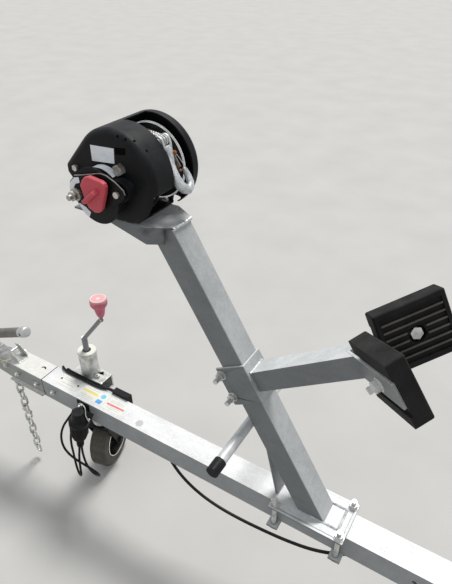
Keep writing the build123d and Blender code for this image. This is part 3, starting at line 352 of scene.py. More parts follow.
# Colours are linear; the record's material slots are keys here, and so are the finer looks of pieces
DULL = {"Specular_IOR_Level": 0.14}
M = {
    # The galvanised looks carry painted shade on their walls: side is 0.30 unless given, 0.50 on the bar and
    # shell, 0.26 on the crank
    "galvanised": galvanised("galvanised_steel", (0.46, 0.48, 0.49), (0.80, 0.82, 0.825)),
    "bar_zinc": galvanised("galvanised_bar", (0.52, 0.53, 0.53), (0.84, 0.85, 0.85), side=0.50),
    "shell_zinc": galvanised("galvanised_shell", (0.58, 0.575, 0.55), (0.84, 0.835, 0.80), side=0.50),
    "smudged": galvanised("galvanised_smudged", (0.38, 0.40, 0.41), (0.68, 0.70, 0.71), smudged=True),
    "grab_bar_steel": plated("bar_steel", (0.74, 0.75, 0.76), 0.42, (0.50, 0.51, 0.52), 0.35),
    "zinc_plated": plated("zinc_plate", (0.74, 0.75, 0.73), 0.38, (0.40, 0.40, 0.38), 0.70),
    "polished": galvanised("crank_zinc", (0.80, 0.81, 0.82), (0.92, 0.93, 0.94), side=0.26),
    "dull_bolt": plated("dull_bolt", (0.62, 0.60, 0.57), 0.36, (0.26, 0.23, 0.20), 0.7),
    "painted_reflection_rim": painted_reflection_rim("painted_reflection_rim"),
    "drum_shade": plated("drum_shadow", (0.050, 0.050, 0.050), 0.50, (0.015, 0.015, 0.015), 0.3),
    "bright_edge": plated("bright_edge", (0.95, 0.95, 0.94), 0.24, (0.80, 0.80, 0.79), 0.9),
    "worn_edge": plated("worn_edge", (0.34, 0.335, 0.32), 0.40, (0.16, 0.155, 0.15), 0.4),
    "tube_end": printed("tube_end_zinc", (0.80, 0.80, 0.72), (0.62, 0.62, 0.55), 0.4),
    "knob_top": printed("faded_top", (0.90, 0.74, 0.66), (0.82, 0.52, 0.48), 0.35),
    "forged_zinc": rough_cast("forged_zinc_coat", (0.74, 0.76, 0.77), (0.40, 0.42, 0.43)),
    "cast_head": rough_cast("cast_head_coat", (0.60, 0.61, 0.60), (0.27, 0.27, 0.265)),
    "handle_grey": handle_coat("handle_coat"),
    "black_plastic": moulded("black_moulded", (0.010, 0.0105, 0.012), (0.12, 0.125, 0.13), 0.46,
                             dust=0.14, **DULL),
    "cover_plastic": moulded("cover_moulded", (0.009, 0.0095, 0.011), (0.13, 0.135, 0.145), 0.48, grain=900,
                             depth=0.00009, dust=0.22, **DULL),
    "black_paint": moulded("black_coat", (0.007, 0.007, 0.0075), (0.08, 0.08, 0.08), 0.40, grain=500,
                           depth=0.00006, dust=0.10, **DULL),
    "red_plastic": moulded("red_moulded", (0.66, 0.075, 0.105), (0.80, 0.24, 0.26), 0.44, grain=1000,
                           depth=0.00006, dust=0.30),
    "pink_plastic": pink_knob("faded_knob"),
    "black_rubber": moulded("rubber_black", (0.012, 0.012, 0.012), (0.13, 0.13, 0.125), 0.66, grain=520,
                            depth=0.00014, dust=0.22, **DULL),
    "worn_rubber": moulded("rubber_worn", (0.11, 0.103, 0.088), (0.24, 0.23, 0.20), 0.75, grain=420,
                           depth=0.00014, dust=0.5, **DULL),
    "grey_rubber": tyre_rubber("tyre_rubber"),
    "rim_plastic": moulded("rim_black", (0.012, 0.012, 0.012), (0.10, 0.095, 0.085), 0.55, grain=800,
                            depth=0.00008, dust=0.30, **DULL),
    "gear_steel": greased("greased_gear"),
    # Rope darker than bare wire: its own greased grey, darkened further as painted shade under the cover
    "wire_rope": plated("rope_wire", (0.20, 0.20, 0.19), 0.42, (0.05, 0.048, 0.045), 0.6),
    "bright_rope": plated("rope_end_wire", (0.80, 0.80, 0.77), 0.38, (0.36, 0.35, 0.33), 0.5),
    "rust": plated("rust_spots", (0.36, 0.12, 0.04), 0.7, (0.17, 0.05, 0.02), 0.0),
    "rusty": plated("latch_spring", (0.55, 0.55, 0.52), 0.35, (0.25, 0.22, 0.18), 0.6, rust=0.10),
    "black_cable": moulded("cable_sheath", (0.010, 0.010, 0.011), (0.09, 0.09, 0.09), 0.34, grain=300,
                           depth=0.00008, dust=0.16, **DULL),
    "label": printed("label_film", (0.80, 0.80, 0.745), (0.62, 0.62, 0.58), 0.5),
    "yellow": printed("yellow_film", (0.80, 0.66, 0.12), (0.80, 0.74, 0.40), 0.5),
    "blue": printed("blue_film", (0.10, 0.34, 0.72), (0.30, 0.52, 0.80), 0.4),
    "light_blue": printed("light_blue_film", (0.16, 0.58, 0.80), (0.45, 0.74, 0.86), 0.4),
    "red_film": printed("red_film", (0.72, 0.16, 0.20), (0.80, 0.42, 0.44), 0.5),
    "white_film": printed("white_film", (0.90, 0.93, 0.97), (0.58, 0.68, 0.84), 0.45),
    "grey_paint": printed("grey_spot", (0.52, 0.53, 0.52), (0.42, 0.43, 0.43), 0.6),
    # Near-black: painted shade in the openings, dents and joint gap, and the own colour of the label's rivets
    "dark": moulded("black_and_painted_shade", (0.002, 0.002, 0.002), (0.01, 0.01, 0.01), 0.8, dust=0.05,
                    Specular_IOR_Level=0.05),
    "weld": rough_cast("weld_metal", (0.72, 0.73, 0.73), (0.34, 0.35, 0.36)),
}


# Edges and shading
def rounding_group(name, sharp_over):
    """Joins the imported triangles, smooths the shading and keeps edges over an angle in radians sharp."""
    group = bpy.data.node_groups.new(name, "GeometryNodeTree")
    group.interface.new_socket("Geometry", in_out="INPUT", socket_type="NodeSocketGeometry")
    group.interface.new_socket("Geometry", in_out="OUTPUT", socket_type="NodeSocketGeometry")
    add, link = group.nodes.new, group.links.new
    start, end = add("NodeGroupInput"), add("NodeGroupOutput")
    merge = add("GeometryNodeMergeByDistance")
    merge.inputs["Distance"].default_value = JOIN_GAP_M
    drop = add("GeometryNodeRemoveAttribute")
    drop.inputs["Name"].default_value = "custom_normal"
    faces, edges = add("GeometryNodeSetShadeSmooth"), add("GeometryNodeSetShadeSmooth")
    edges.domain = "EDGE"
    edges.inputs["Shade Smooth"].default_value = False
    angle, over = add("GeometryNodeInputMeshEdgeAngle"), add("FunctionNodeCompare")
    over.operation = "GREATER_THAN"
    over.inputs["B"].default_value = sharp_over
    link(angle.outputs["Unsigned Angle"], over.inputs["A"])
    link(over.outputs["Result"], edges.inputs["Selection"])
    chain = [start, merge, drop, faces, edges, end]
    for one, two in zip(chain, chain[1:]):
        link(one.outputs[0], two.inputs[0])
    return group


SMOOTH = rounding_group("joined_and_smooth", 0.52)
FACETED = rounding_group("joined_and_faceted", 0.02)


def soften(obj, width=0.0, kind=SMOOTH):
    """Smooth shading with sharp edges kept, after rounding them where a width is given."""
    if width:
        join = obj.modifiers.new("join", "WELD")
        join.merge_threshold = JOIN_GAP_M
        bevel = obj.modifiers.new("edges", "BEVEL")
        bevel.width = width * MM
        bevel.segments = 2
        bevel.limit_method = "ANGLE"
        bevel.angle_limit = math.radians(38)
        bevel.miter_outer = "MITER_ARC"
    smooth = obj.modifiers.new("smooth", "NODES")
    smooth.node_group = kind
    even = obj.modifiers.new("even", "WEIGHTED_NORMAL")
    even.keep_sharp = True
    even.weight = 92


# Nodes whose look differs from their slot's
SPECIAL = {"winch_bracket": "smudged", "winch_cover": "cover_plastic", "hook_latch": "rusty",
           "drive_housing": "cover_plastic", "winch_drum": "drum_shade", "coupling_shell": "shell_zinc",
           "drawbar": "bar_zinc", "jockey_crank": "polished", "winch_bolts": "dull_bolt"}
# Widths of the rounded edges; the drawbar has none, as rounding its long thin triangles drew a dark line
ROUNDED = {
    "winch_post": 2.0, "bow_arm": 1.6, "arm_sleeve": 1.6, "coupling_shell": 1.5, "foot_plate": 0.9,
    "winch_bracket": 0.9, "winch_frame": 1.0, "jockey_bracket": 1.0, "bow_vee_plate": 1.0, "lead_box": 1.2,
    "coupling_catch": 0.9, "turning_knob": 1.6, "drive_flange": 0.8, "post_brace": 0.8, "drive_housing": 1.0,
    "hook": 0.8, "jockey_crank": 0.7, "jockey_fork": 0.9, "coupling_handle": 0.7, "foot_bolts": 0.5,
    "foot_straps": 0.8, "sleeve_bolts": 0.5, "coupling_bolts": 0.4, "winch_bolts": 0.5,
    "bow_pad_bolts": 0.5, "plug_holder": 0.6, "bow_pad_left": 0.8, "bow_pad_right": 0.8,
    "winch_gear": 0.3, "lead_gland": 0.8, "grab_bar_caps": 0.8, "drive_disc": 0.6,
    "jockey_outer_tube": 0.6, "winch_drum": 0.4,
}
PLANE_SIDED = {"drawbar", "winch_post", "bow_arm", "arm_sleeve", "post_brace", "foot_plate",
               "bow_vee_plate", "jockey_bracket", "lead_box", "foot_straps", "coupling_spigot",
               "bow_pad_left", "bow_pad_right"}
slot_of = {row["node"]: row["material_slot"] for row in frame["record"]["subparts"]}
for node_name, node in nodes.items():
    surface = M[SPECIAL.get(node_name, slot_of[node_name])]
    node.data.materials.clear()
    node.data.materials.append(surface)
    soften(node, ROUNDED.get(node_name, 0.0), kind=FACETED if node_name in PLANE_SIDED else SMOOTH)


# Mesh helpers
def frame_at(at, axis=(0, 0, 1), across=(1, 0, 0)):
    """Matrix of a local frame: z along axis, x near across."""
    z = Vector(axis).normalized()
    x = Vector(across)
    x = (x - z * z.dot(x)).normalized()
    return Matrix.Translation(at) @ Matrix((x, z.cross(x), z)).transposed().to_4x4()


SIDE_AXIS = (0, -1, 0)
TOP = frame_at((0, 0, BAR_TOP))


def on_plane(y):
    """Frame on a plane facing the viewer's side: its x and y are the model's X and Z, its z points out."""
    return frame_at((0, y, 0), SIDE_AXIS, (1, 0, 0))


def add_rings(bm, rings, looped=False):
    """Joins rings of points into a skin, with its ends closed or joined to each other."""
    rows = [[bm.verts.new(p) for p in ring] for ring in rings]
    count = len(rows[0])
    pairs = list(zip(rows, rows[1:])) + ([(rows[-1], rows[0])] if looped else [])
    for one, two in pairs:
        for k in range(count):
            bm.faces.new((one[k], one[(k + 1) % count], two[(k + 1) % count], two[k]))
    if not looped:
        bm.faces.new(rows[0][::-1])
        bm.faces.new(rows[-1])


def add_turned(bm, profile, where, around=40, looped=False):
    """A turned shape: profile points (radius, height) about the frame's z."""
    angles = [2 * math.pi * k / around for k in range(around)]
    rings = []
    for r, h in profile:
        r = max(r, 0.02)
        rings.append([where @ Vector((r * math.cos(a), r * math.sin(a), h)) for a in angles])
    add_rings(bm, rings, looped=looped)


def add_prism(bm, outline, low, high, where):
    """An outline in a frame's x and y, drawn out from low to high along its z."""
    rings = [[where @ Vector((x, y, h)) for x, y in outline] for h in (low, high)]
    add_rings(bm, rings)


def add_swept(bm, points, radius, around=10, looped=False, spin=0.0):
    """A tube along points; radius is a number or a function of (step, angle), spin turns each step."""
    points = [Vector(p) for p in points]
    count = len(points)
    across = None
    rings = []
    for i, p in enumerate(points):
        after = points[(i + 1) % count] if looped or i + 1 < count else p
        before = points[i - 1] if looped or i else p
        ahead = (after - before).normalized()
        if across is None:
            across = ahead.orthogonal().normalized()
        across = (across - ahead * ahead.dot(across)).normalized()
        side = ahead.cross(across)
        ring = []
        for k in range(around):
            a = 2 * math.pi * k / around
            r = radius(i, a) if callable(radius) else radius
            b = a + spin * i
            ring.append(p + across * (r * math.cos(b)) + side * (r * math.sin(b)))
        rings.append(ring)
    add_rings(bm, rings, looped=looped)


def polygon(sides, across_flats, turn=0.0):
    """Outline of a regular polygon, as of a nut."""
    r = across_flats / 2 / math.cos(math.pi / sides)
    angles = [turn + 2 * math.pi * k / sides for k in range(sides)]
    return [(r * math.cos(a), r * math.sin(a)) for a in angles]


def arc(centre, r, start, end, steps=24):
    """Points of an arc round a centre, angles in degrees."""
    angles = [math.radians(start + (end - start) * k / steps) for k in range(steps + 1)]
    return [(centre[0] + r * math.cos(a), centre[1] + r * math.sin(a)) for a in angles]


def smooth_line(points, steps=6):
    """A soft curve through points (Catmull-Rom), with a number of steps from one to the next."""
    line = []
    for o, p, q, t in zip([points[0]] + points, points, points[1:], points[2:] + [points[-1]]):
        for u in (k / steps for k in range(steps)):
            line.append([0.5 * ((2 * b) + (c - a) * u + (2 * a - 5 * b + 4 * c - d) * u * u
                                + (3 * b - a - 3 * c + d) * u ** 3) for a, b, c, d in zip(o, p, q, t)])
    return line + [points[-1]]


def rounded_box(x0, x1, y0, y1, r, steps=4):
    """Outline of a rectangle with rounded corners."""
    corners = ((x1 - r, y1 - r, 0), (x0 + r, y1 - r, 90), (x0 + r, y0 + r, 180), (x1 - r, y0 + r, 270))
    points = []
    for cx, cy, start in corners:
        for k in range(steps + 1):
            a = math.radians(start + 90 * k / steps)
            points.append((cx + r * math.cos(a), cy + r * math.sin(a)))
    return points


def piece(name, bm, body, surface, edge=0.0):
    """Makes the mesh an object in the frame that rides on a body, with edges rounded by a width."""
    bmesh.ops.recalc_face_normals(bm, faces=bm.faces)
    bmesh.ops.scale(bm, vec=(MM, MM, MM), verts=bm.verts)
    mesh = bpy.data.meshes.new(name)
    bm.to_mesh(mesh)
    bm.free()
    obj = bpy.data.objects.new(name, mesh)
    bpy.context.scene.collection.objects.link(obj)
    mesh.materials.append(M[surface])
    soften(obj, edge)
    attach(obj, body)
    return obj


# Cords: the same routes as the CAD tubes, as smooth lines through (x, y, z), from the exit to the far end
PLUG_LONG = [
    (-1078, -22, -41), (-1078, -22, -60), (-1086, -44, -80), (-1101, -60, -110), (-1106, -74, -148),
    (-1086, -88, -172), (-1048, -97, -178), (-1008, -100, -178), (-968, -97, -184), (-946, -89, -204),
    (-944, -80, -230), (-966, -73, -252), (-1000, -68, -260), (-1020, -66, -236), (-1024, -66, -198),
    (-1020.2, -68, -162.5), (-1017.1, -68, -142.8),
]
PLUG_SHORT = [
    (-1052, -22, -41), (-1052, -22, -60), (-1059, -46, -82), (-1066, -62, -118), (-1069, -68, -164),
    (-1071, -67, -212), (-1074, -66, -250), (-1066, -72, -281), (-1043, -84, -289), (-1022, -92, -270),
    (-1022, -90, -238), (-1029, -80, -196), (-1030.5, -68, -161), (-1027.4, -68, -141.2),
]
HARNESS = [
    (-728, 4, -41), (-728, 4, -62), (-704, 0, -98), (-664, -3, -136), (-608, -4, -166), (-545, -2, -184),
    (-478, 3, -194), (-402, 5, -190), (-325, 2, -172), (-252, -3, -142), (-190, -4, -104), (-140, 1, -66),
    (-140, 1, -41),
]


def cord(name, route, diameter, replaced):
    data = bpy.data.curves.new(name, "CURVE")
    data.dimensions = "3D"
    data.bevel_depth = diameter / 2 * MM
    data.bevel_resolution = 5
    data.use_fill_caps = True
    data.resolution_u = 16
    line = data.splines.new("NURBS")
    line.points.add(len(route) - 1)
    for point, at in zip(line.points, route):
        point.co = (*(Vector(at) * MM), 1.0)
    line.order_u = 3
    line.use_endpoint_u = True
    obj = bpy.data.objects.new(name, data)
    bpy.context.scene.collection.objects.link(obj)
    data.materials.append(M["black_cable"])
    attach(obj, ROOT)
    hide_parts(replaced)
    return obj


long_cord = cord("plug_cord_long", PLUG_LONG, 7.4, "plug_cable_long")
short_cord = cord("plug_cord_short", PLUG_SHORT, 7.4, "plug_cable_short")
harness = cord("harness_cord", HARNESS, 9.0, "harness_cable")


# Seats: where a line meets a CAD node, so that small pieces lie on it
def surface_of(node_name):
    """A tree of the node's faces, for finding points on it."""
    mesh = nodes[node_name].data
    return BVHTree.FromPolygons([v.co / MM for v in mesh.vertices], [p.vertices for p in mesh.polygons])


def seat(tree, start, direction):
    """Point where a line from start meets the surface, and the surface's normal there, towards start."""
    where, normal, _, _ = tree.ray_cast(Vector(start), Vector(direction))
    return where, (normal if normal.dot(Vector(direction)) < 0 else -normal)


def strip(start, end, width):
    """Outline of a straight strip between two points."""
    a, b = Vector(start), Vector(end)
    side = (b - a).normalized().orthogonal() * width / 2
    return [a + side, a - side, b - side, b + side]


# Labels on the drawbar's top: blank plates with plain coloured patches and rules; heights over the top
LABEL_HIGH, RULE_HIGH, PATCH_HIGH = 0.7, 0.85, 0.95
LABELS = {"front": (-1137, -1053, -18, 22), "middle": (-1041, -943, -24, 24), "aft": (-938, -869, -24, 22)}
for name, box in LABELS.items():
    bm = bmesh.new()
    add_prism(bm, rounded_box(*box, 2.5), 0.0, LABEL_HIGH, TOP)
    piece("label_" + name, bm, ROOT, "label", edge=0.2)
DISC_R, SPOT_R = 8.5, 11.5
patches = {
    "patch_yellow": ("yellow", strip((-1039, 5), (-980, 4), 7)),
    "patch_blue_disc": ("light_blue", [(-962 + DISC_R * x, 10 + DISC_R * y) for x, y in polygon(32, 2)]),
    "patch_blue_square": ("blue", rounded_box(-972, -952, -20, -5, 1.5)),
    "patch_red": ("red_film", strip((-936, -3.5), (-872, -2), 6.5)),
}
for name, (surface, outline) in patches.items():
    bm = bmesh.new()
    add_prism(bm, [tuple(p)[:2] for p in outline], LABEL_HIGH, PATCH_HIGH, TOP)
    piece(name, bm, ROOT, surface)
RULES = {(-1036, -985): (17, 9, -12, -18), (-930, -882): (14, 8, -10, -16), (-1125, -1072): (14, 7, -8)}
bm = bmesh.new()
for (x0, x1), lines in RULES.items():
    for y in lines:
        add_prism(bm, rounded_box(x0, x1, y - 0.8, y + 0.8, 0.7, 2), LABEL_HIGH, RULE_HIGH, TOP)
piece("label_rules", bm, ROOT, "grey_paint")
bm = bmesh.new()
add_prism(bm, [(-802.5 + SPOT_R * x, -14 + SPOT_R * y) for x, y in polygon(40, 2)], 0.0, 0.3, TOP)
piece("grey_spot", bm, ROOT, "grey_paint")
bm = bmesh.new()
for x, y in ((-1132.6, 3), (-1062.5, 4)):
    add_turned(bm, [(3.4, 0.6), (3.2, 1.5), (2.2, 2.1), (0, 2.3)], frame_at((x, y, BAR_TOP)), 20)
piece("label_rivets", bm, ROOT, "dark")

# Crescent dents on the coupling's top, as thin dark plates: painted shade in the dents
DENT_R, DENT_INNER_R, DENT_SHIFT = 9, 8.2, 4.5
bm = bmesh.new()
for x, y in ((-1318, 4), (-1218.6, 4.4)):
    outer = [(x + DENT_R * math.sin(a), y + DENT_R * math.cos(a))
             for a in (math.radians(d) for d in range(-80, 81, 10))]
    inner = [(x + DENT_INNER_R * math.sin(a), y - DENT_SHIFT + DENT_INNER_R * math.cos(a))
             for a in (math.radians(d) for d in range(70, -71, -10))]
    add_prism(bm, outer + inner, -0.2, 0.25, TOP)
piece("coupling_dents", bm, ROOT, "dark")

# Painted shade in the joint between the shell and the drawbar: a dark strip over its top and down its near
# side
JOINT_FRONT, JOINT_AFT = -1186.4, -1184.2
bm = bmesh.new()
for low, high, where in ((-35.2, 35.2, TOP), (-34, 35, on_plane(-35))):
    corners = [(JOINT_FRONT, low), (JOINT_AFT, low), (JOINT_AFT, high), (JOINT_FRONT, high)]
    add_prism(bm, corners, -0.4, 0.3, where)
piece("joint_line", bm, ROOT, "dark")

# Yellow wear mark on the coupling's near cheek
shell = surface_of("coupling_shell")
where, normal = seat(shell, (-1373, -120, 20), (0, 1, 0))
bm = bmesh.new()
add_prism(bm, rounded_box(-7, 7, -5, 5, 2), -0.4, 0.5, frame_at(where, normal))
piece("wear_mark", bm, ROOT, "yellow")


# Weld beads: rippled tubes half sunk in the corner of two parts
def add_bead(bm, path, r):
    step = 2.6
    points = []
    for a, b in zip(path, path[1:]):
        a, b = Vector(a), Vector(b)
        number = max(2, int((b - a).length / step))
        points += [a.lerp(b, k / number) for k in range(number)]
    points.append(Vector(path[-1]))
    rough = [random.uniform(0.86, 1.14) for _ in points]
    add_swept(bm, points, lambda i, a: r * rough[i] * (1.0 + 0.10 * math.sin(i * 2.3)), 8)


# The post's aft face: its foot on the drawbar, its direction, and its normal, which points aft and up
SIN_LEAN, COS_LEAN = 0.5, 0.8660254
POST_FOOT = Vector((-220.0, 0, BAR_TOP))
POST_UP, POST_OUT = Vector((-SIN_LEAN, 0, COS_LEAN)), Vector((COS_LEAN, 0, SIN_LEAN))
PLATE_TOP = 41.0


def post(s, side, n):
    """Point at distance s up the post's aft face, at side in y and n out from that face."""
    at = POST_FOOT + POST_UP * s + POST_OUT * n
    return (at.x, side, at.z)


def post_foot(side, n):
    """The point of the post on the foot plate's top."""
    return post((PLATE_TOP - BAR_TOP - SIN_LEAN * n) / COS_LEAN, side, n)


# These beads lie 30 aft of the post's own corners, so the aft one lies free on the plate
bm = bmesh.new()
for side in (-30.5, 30.5):
    add_bead(bm, [post_foot(side, -30), post_foot(side, 30)], 3.2)
add_bead(bm, [post_foot(-30, 30.5), post_foot(30, 30.5)], 3.4)
add_bead(bm, [post_foot(-30, -30.5), post_foot(30, -30.5)], 3.2)
piece("weld_post_foot", bm, ROOT, "weld")

# One bead under the winch bracket, one on the sleeve's aft face at the arm's root; both stay with the post
bm = bmesh.new()
add_bead(bm, [(-613.5, -30.5, 722.5), (-613.0, -12, 721.5), (-613.0, 10, 721.5), (-613.5, 30.5, 722.5)], 4.2)
add_bead(bm, [post(440, y, 5.5) for y in (-27, -10, 10, 27)], 4.0)
piece("weld_post_top", bm, ROOT, "weld")

# Rope on the drum: one even layer of turns, each a twisted bundle
WINCH_X, WINCH_Z = -728.0, 813.0
WINCH_AXIS = frame_at((WINCH_X, 0, WINCH_Z), (0, 1, 0))
ROPE_R, LAYER_R, ROPE_NEAR, ROPE_FAR = 2.8, 67.0, -15.0, 61.0
TURN_STEPS = 44
rope_width = ROPE_FAR - ROPE_NEAR - 2 * ROPE_R
turns = int(rope_width / (2 * ROPE_R + 0.1))
path = []
for i in range(turns * TURN_STEPS + 1):
    a = 2 * math.pi * i / TURN_STEPS
    y = ROPE_NEAR + ROPE_R + rope_width * i / (turns * TURN_STEPS)
    path.append((WINCH_X + LAYER_R * math.cos(a), y, WINCH_Z + LAYER_R * math.sin(a)))
bm = bmesh.new()
add_swept(bm, path, lambda i, a: ROPE_R * (0.90 + 0.10 * math.cos(6 * a)), 18, spin=0.55)
core = [(24, ROPE_NEAR), (LAYER_R, ROPE_NEAR), (LAYER_R, ROPE_FAR), (24, ROPE_FAR)]
add_turned(bm, core, WINCH_AXIS, 64, looped=True)
wound = piece("rope_turns", bm, "winch_drum", "wire_rope")
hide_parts("wound_rope")

# Winch cover: blank sticker, and slot and small holes as dark plates of painted shade, given by (x, z) on its
# near side
COVER_SIDE = -62.0
cover = surface_of("winch_cover")


def on_cover(x, z):
    """Frame on the cover where the camera's line to a point of its side plane meets it."""
    where, normal = seat(cover, EYE, Vector((x, COVER_SIDE, z)) - EYE)
    return frame_at(where, normal, (1, 0, 0))


bm = bmesh.new()
sticker = [(-775, 876), (-715, 879), (-718, 849), (-776, 844)]
add_prism(bm, sticker, -0.1, 0.35, on_plane(COVER_SIDE))
piece("cover_sticker", bm, ROOT, "white_film", edge=0.1)
# Slot and holes: painted shade in the openings
bm = bmesh.new()
add_prism(bm, [(-712, 882), (-686, 884), (-688, 871), (-713, 868)], -0.1, 0.3, on_plane(COVER_SIDE))
for x, z in ((-701.3, 904.3), (-682.9, 901.8), (-662.1, 902.6), (-635.8, 889.1)):
    add_turned(bm, [(2.6, -0.8), (2.6, 0.35), (0, 0.4)], on_cover(x, z), 16)
piece("cover_openings", bm, ROOT, "dark")

# Winch drive: gear case with its sticker band, wide flange plate with a worn edge, sticker arcs and
# turning grip; outlines are (x, z), and the drive grows towards the viewer, to lower y
PLATE_BACK, PLATE_T, GRIP_BACK = -90.1, 4.0, -97.2
PLATE_FRONT = PLATE_BACK - PLATE_T
CASE, CASE_R = (-742.0, 793.0), 50.0
bm = bmesh.new()
add_turned(bm, [(CASE_R - 0.5, 0), (CASE_R, 0.5), (CASE_R, 21), (CASE_R - 1, 22), (0, 22)],
           frame_at((CASE[0], COVER_SIDE, CASE[1]), SIDE_AXIS), 72)
piece("gear_case", bm, ROOT, "black_paint")
bm = bmesh.new()
band = arc(CASE, CASE_R + 0.5, 48, 112) + arc(CASE, CASE_R + 0.05, 112, 48)
add_prism(bm, band, 0, 17, on_plane(-65))
piece("case_sticker", bm, ROOT, "white_film")
PLATE = [
    (-813, 806), (-798, 820.5), (-764, 829), (-728, 838.5), (-713, 837.5), (-692, 828), (-674, 815.5),
    (-671.5, 807.5), (-676, 797), (-689.5, 786), (-712.5, 770), (-734, 759.5), (-761, 752), (-780, 757),
    (-797, 763), (-812, 770), (-818, 784),
]
bm = bmesh.new()
add_prism(bm, PLATE, 0, PLATE_T, on_plane(PLATE_BACK))
plate = piece("drive_plate", bm, ROOT, "black_paint", edge=0.6)
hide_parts("drive_flange")
bm = bmesh.new()
add_swept(bm, [(x, -93.4, z + 0.1) for x, z in PLATE[1:8]], 1.1, 8)
piece("plate_edge", bm, ROOT, "worn_edge")
corner_sticker = [(-811, 806), (-799, 816.5), (-786, 819.5), (-786, 808), (-798, 803.5), (-804, 795),
                  (-806, 783), (-817, 783), (-816, 794)]
RING = (-753, 785)
bm = bmesh.new()
add_prism(bm, corner_sticker, 0, 0.4, on_plane(PLATE_FRONT))
add_prism(bm, arc(RING, 57, 208, 243) + arc(RING, 43, 243, 208), 0, 0.4, on_plane(-90.0))
piece("ring_sticker", bm, ROOT, "white_film")
GRIP = [
    (-770.9, 811.6), (-764.7, 822.7), (-756.9, 830.1), (-747.2, 834), (-714.4, 830), (-708.2, 826),
    (-705.8, 820), (-709.3, 805), (-724, 769), (-731.4, 762.5), (-741.9, 759.9), (-756.8, 766.9),
    (-763.7, 781.5),
]
GRIP_MID = Vector((-739.0, 799.0))
where = on_plane(GRIP_BACK)
bm = bmesh.new()
rings = []
for size, height in ((0.93, 0), (0.99, 1.5), (1.0, 4), (1.0, 9.5), (0.96, 12), (0.86, 13)):
    rings.append([where @ Vector((*(GRIP_MID + (Vector(at) - GRIP_MID) * size), height)) for at in GRIP])
add_rings(bm, rings)
fin_low, fin_high = Vector((-759.0, 782.0)), Vector((-724.0, 811.0))
fin_side = Vector((-0.64, 0.77))
rings = []
for height, width, shorter in ((11, 6.5, 0.0), (22, 4.2, 0.05), (25, 3.2, 0.09), (26, 1.6, 0.12)):
    a, b = fin_low.lerp(fin_high, shorter * 0.4), fin_high.lerp(fin_low, shorter)
    half = fin_side * width
    rings.append([where @ Vector((*at, height)) for at in (a + half, b + half, b - half, a - half)])
add_rings(bm, rings)
grip = piece("turning_grip", bm, ROOT, "red_plastic", edge=1.4)
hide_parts("turning_knob")

# Thick plate under the winch frame, the frame's four screws, and the drum's far rim, which glows with a
# painted reflection of the sky
bm = bmesh.new()
add_prism(bm, rounded_box(-786, -683, -45, 72, 9, 6), 0.1, 4.6, frame_at((0, 0, 726)))
piece("base_plate", bm, ROOT, "black_paint", edge=0.8)
# The drum's far rim: its glow is a painted reflection of the sky
bm = bmesh.new()
add_turned(bm, [(79.4, 61.6), (82.2, 62.2), (82.2, 65.6), (79.4, 65.6)], WINCH_AXIS, 96, looped=True)
piece("drum_rim", bm, "winch_drum", "painted_reflection_rim", edge=0.3)
bm = bmesh.new()
for x, y in ((-770, -18), (-700, -22), (-770, 60), (-700, 60)):
    where = frame_at((x, y, 730))
    add_turned(bm, [(7.5, 0), (7.5, 1.2), (0, 1.2)], where, 28)
    add_prism(bm, polygon(6, 10, 0.3), 1.2, 6.0, where)
piece("frame_screws", bm, ROOT, "zinc_plated", edge=0.3)

# Hook: round ears, forged bar thick in the bend, latch with rust, and the rope's loop round the pin
PIN = Vector((-672, 28, 875))
HOOK_DIR = Vector((0.534, 0, -0.845)).normalized()
HOOK_OUT = HOOK_DIR.cross(Vector((0, 1, 0)))


def on_hook(u, v, w=0.0):
    """A point u along the hook from its pin, v across to the far side and w out from the drum."""
    return PIN + HOOK_DIR * u + Vector((0, v, 0)) + HOOK_OUT * w


# The forged bar from the ears round the bend to the tip: u, v, half its width, half its thickness
HOOK_BAR = [
    (13, 0.0, 13.4, 8.5), (19, 0.0, 12.8, 9.2), (26, -1.0, 10.6, 9.2), (35, -4.0, 8.8, 8.2),
    (47, -10.0, 8.6, 7.8), (60, -14.0, 9.0, 8.4), (76, -15.6, 9.2, 9.2), (91, -14.0, 9.6, 9.6),
    (101, -8.0, 9.8, 9.4), (106, 1.0, 9.2, 8.8), (103, 10.5, 8.2, 8.0), (95, 17.0, 7.4, 7.2),
    (82, 19.6, 6.8, 6.4), (70, 19.8, 6.0, 5.6), (64, 19.6, 3.6, 3.4),
]
EAR_R, EAR_STRETCH, EAR_TAPER = 12.0, 1.9, 0.22
bm = bmesh.new()
rings = []
for i, (u, v, wide, thick) in enumerate(HOOK_BAR):
    one, two = HOOK_BAR[max(i - 1, 0)], HOOK_BAR[min(i + 1, len(HOOK_BAR) - 1)]
    ahead = Vector((two[0] - one[0], two[1] - one[1])).normalized()
    ring = []
    for k in range(20):
        a = 2 * math.pi * k / 20
        c, d = math.cos(a), math.sin(a)
        c, d = math.copysign(abs(c) ** 0.8, c), math.copysign(abs(d) ** 0.8, d)
        ring.append(on_hook(u - ahead.y * wide * c, v + ahead.x * wide * c, thick * d))
    rings.append(ring)
add_rings(bm, rings)
for side in (-1, 1):
    rings = []
    for v, inset in ((7.6, 1.0), (8.6, 0.0), (12.6, 0.0), (13.8, 1.2)):
        ring = []
        for k in range(32):
            a = 2 * math.pi * k / 32
            r = EAR_R - inset
            u, w = r * math.cos(a), r * math.sin(a)
            if u > 0:
                u, w = u * EAR_STRETCH, w * (1 - EAR_TAPER * u / r)
            ring.append(on_hook(u, side * v, w))
        rings.append(ring)
    add_rings(bm, rings)
hook_shape = piece("forged_hook", bm, ROOT, "forged_zinc", edge=0.5)
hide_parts("hook")
bm = bmesh.new()
pin_profile = [(8.2, 0), (8.2, 3.4), (7.0, 5.0), (3.5, 5.6), (0, 5.6)]
add_turned(bm, pin_profile, frame_at(on_hook(0, -14), SIDE_AXIS), 32)
piece("pin_head", bm, ROOT, "zinc_plated")
bm = bmesh.new()
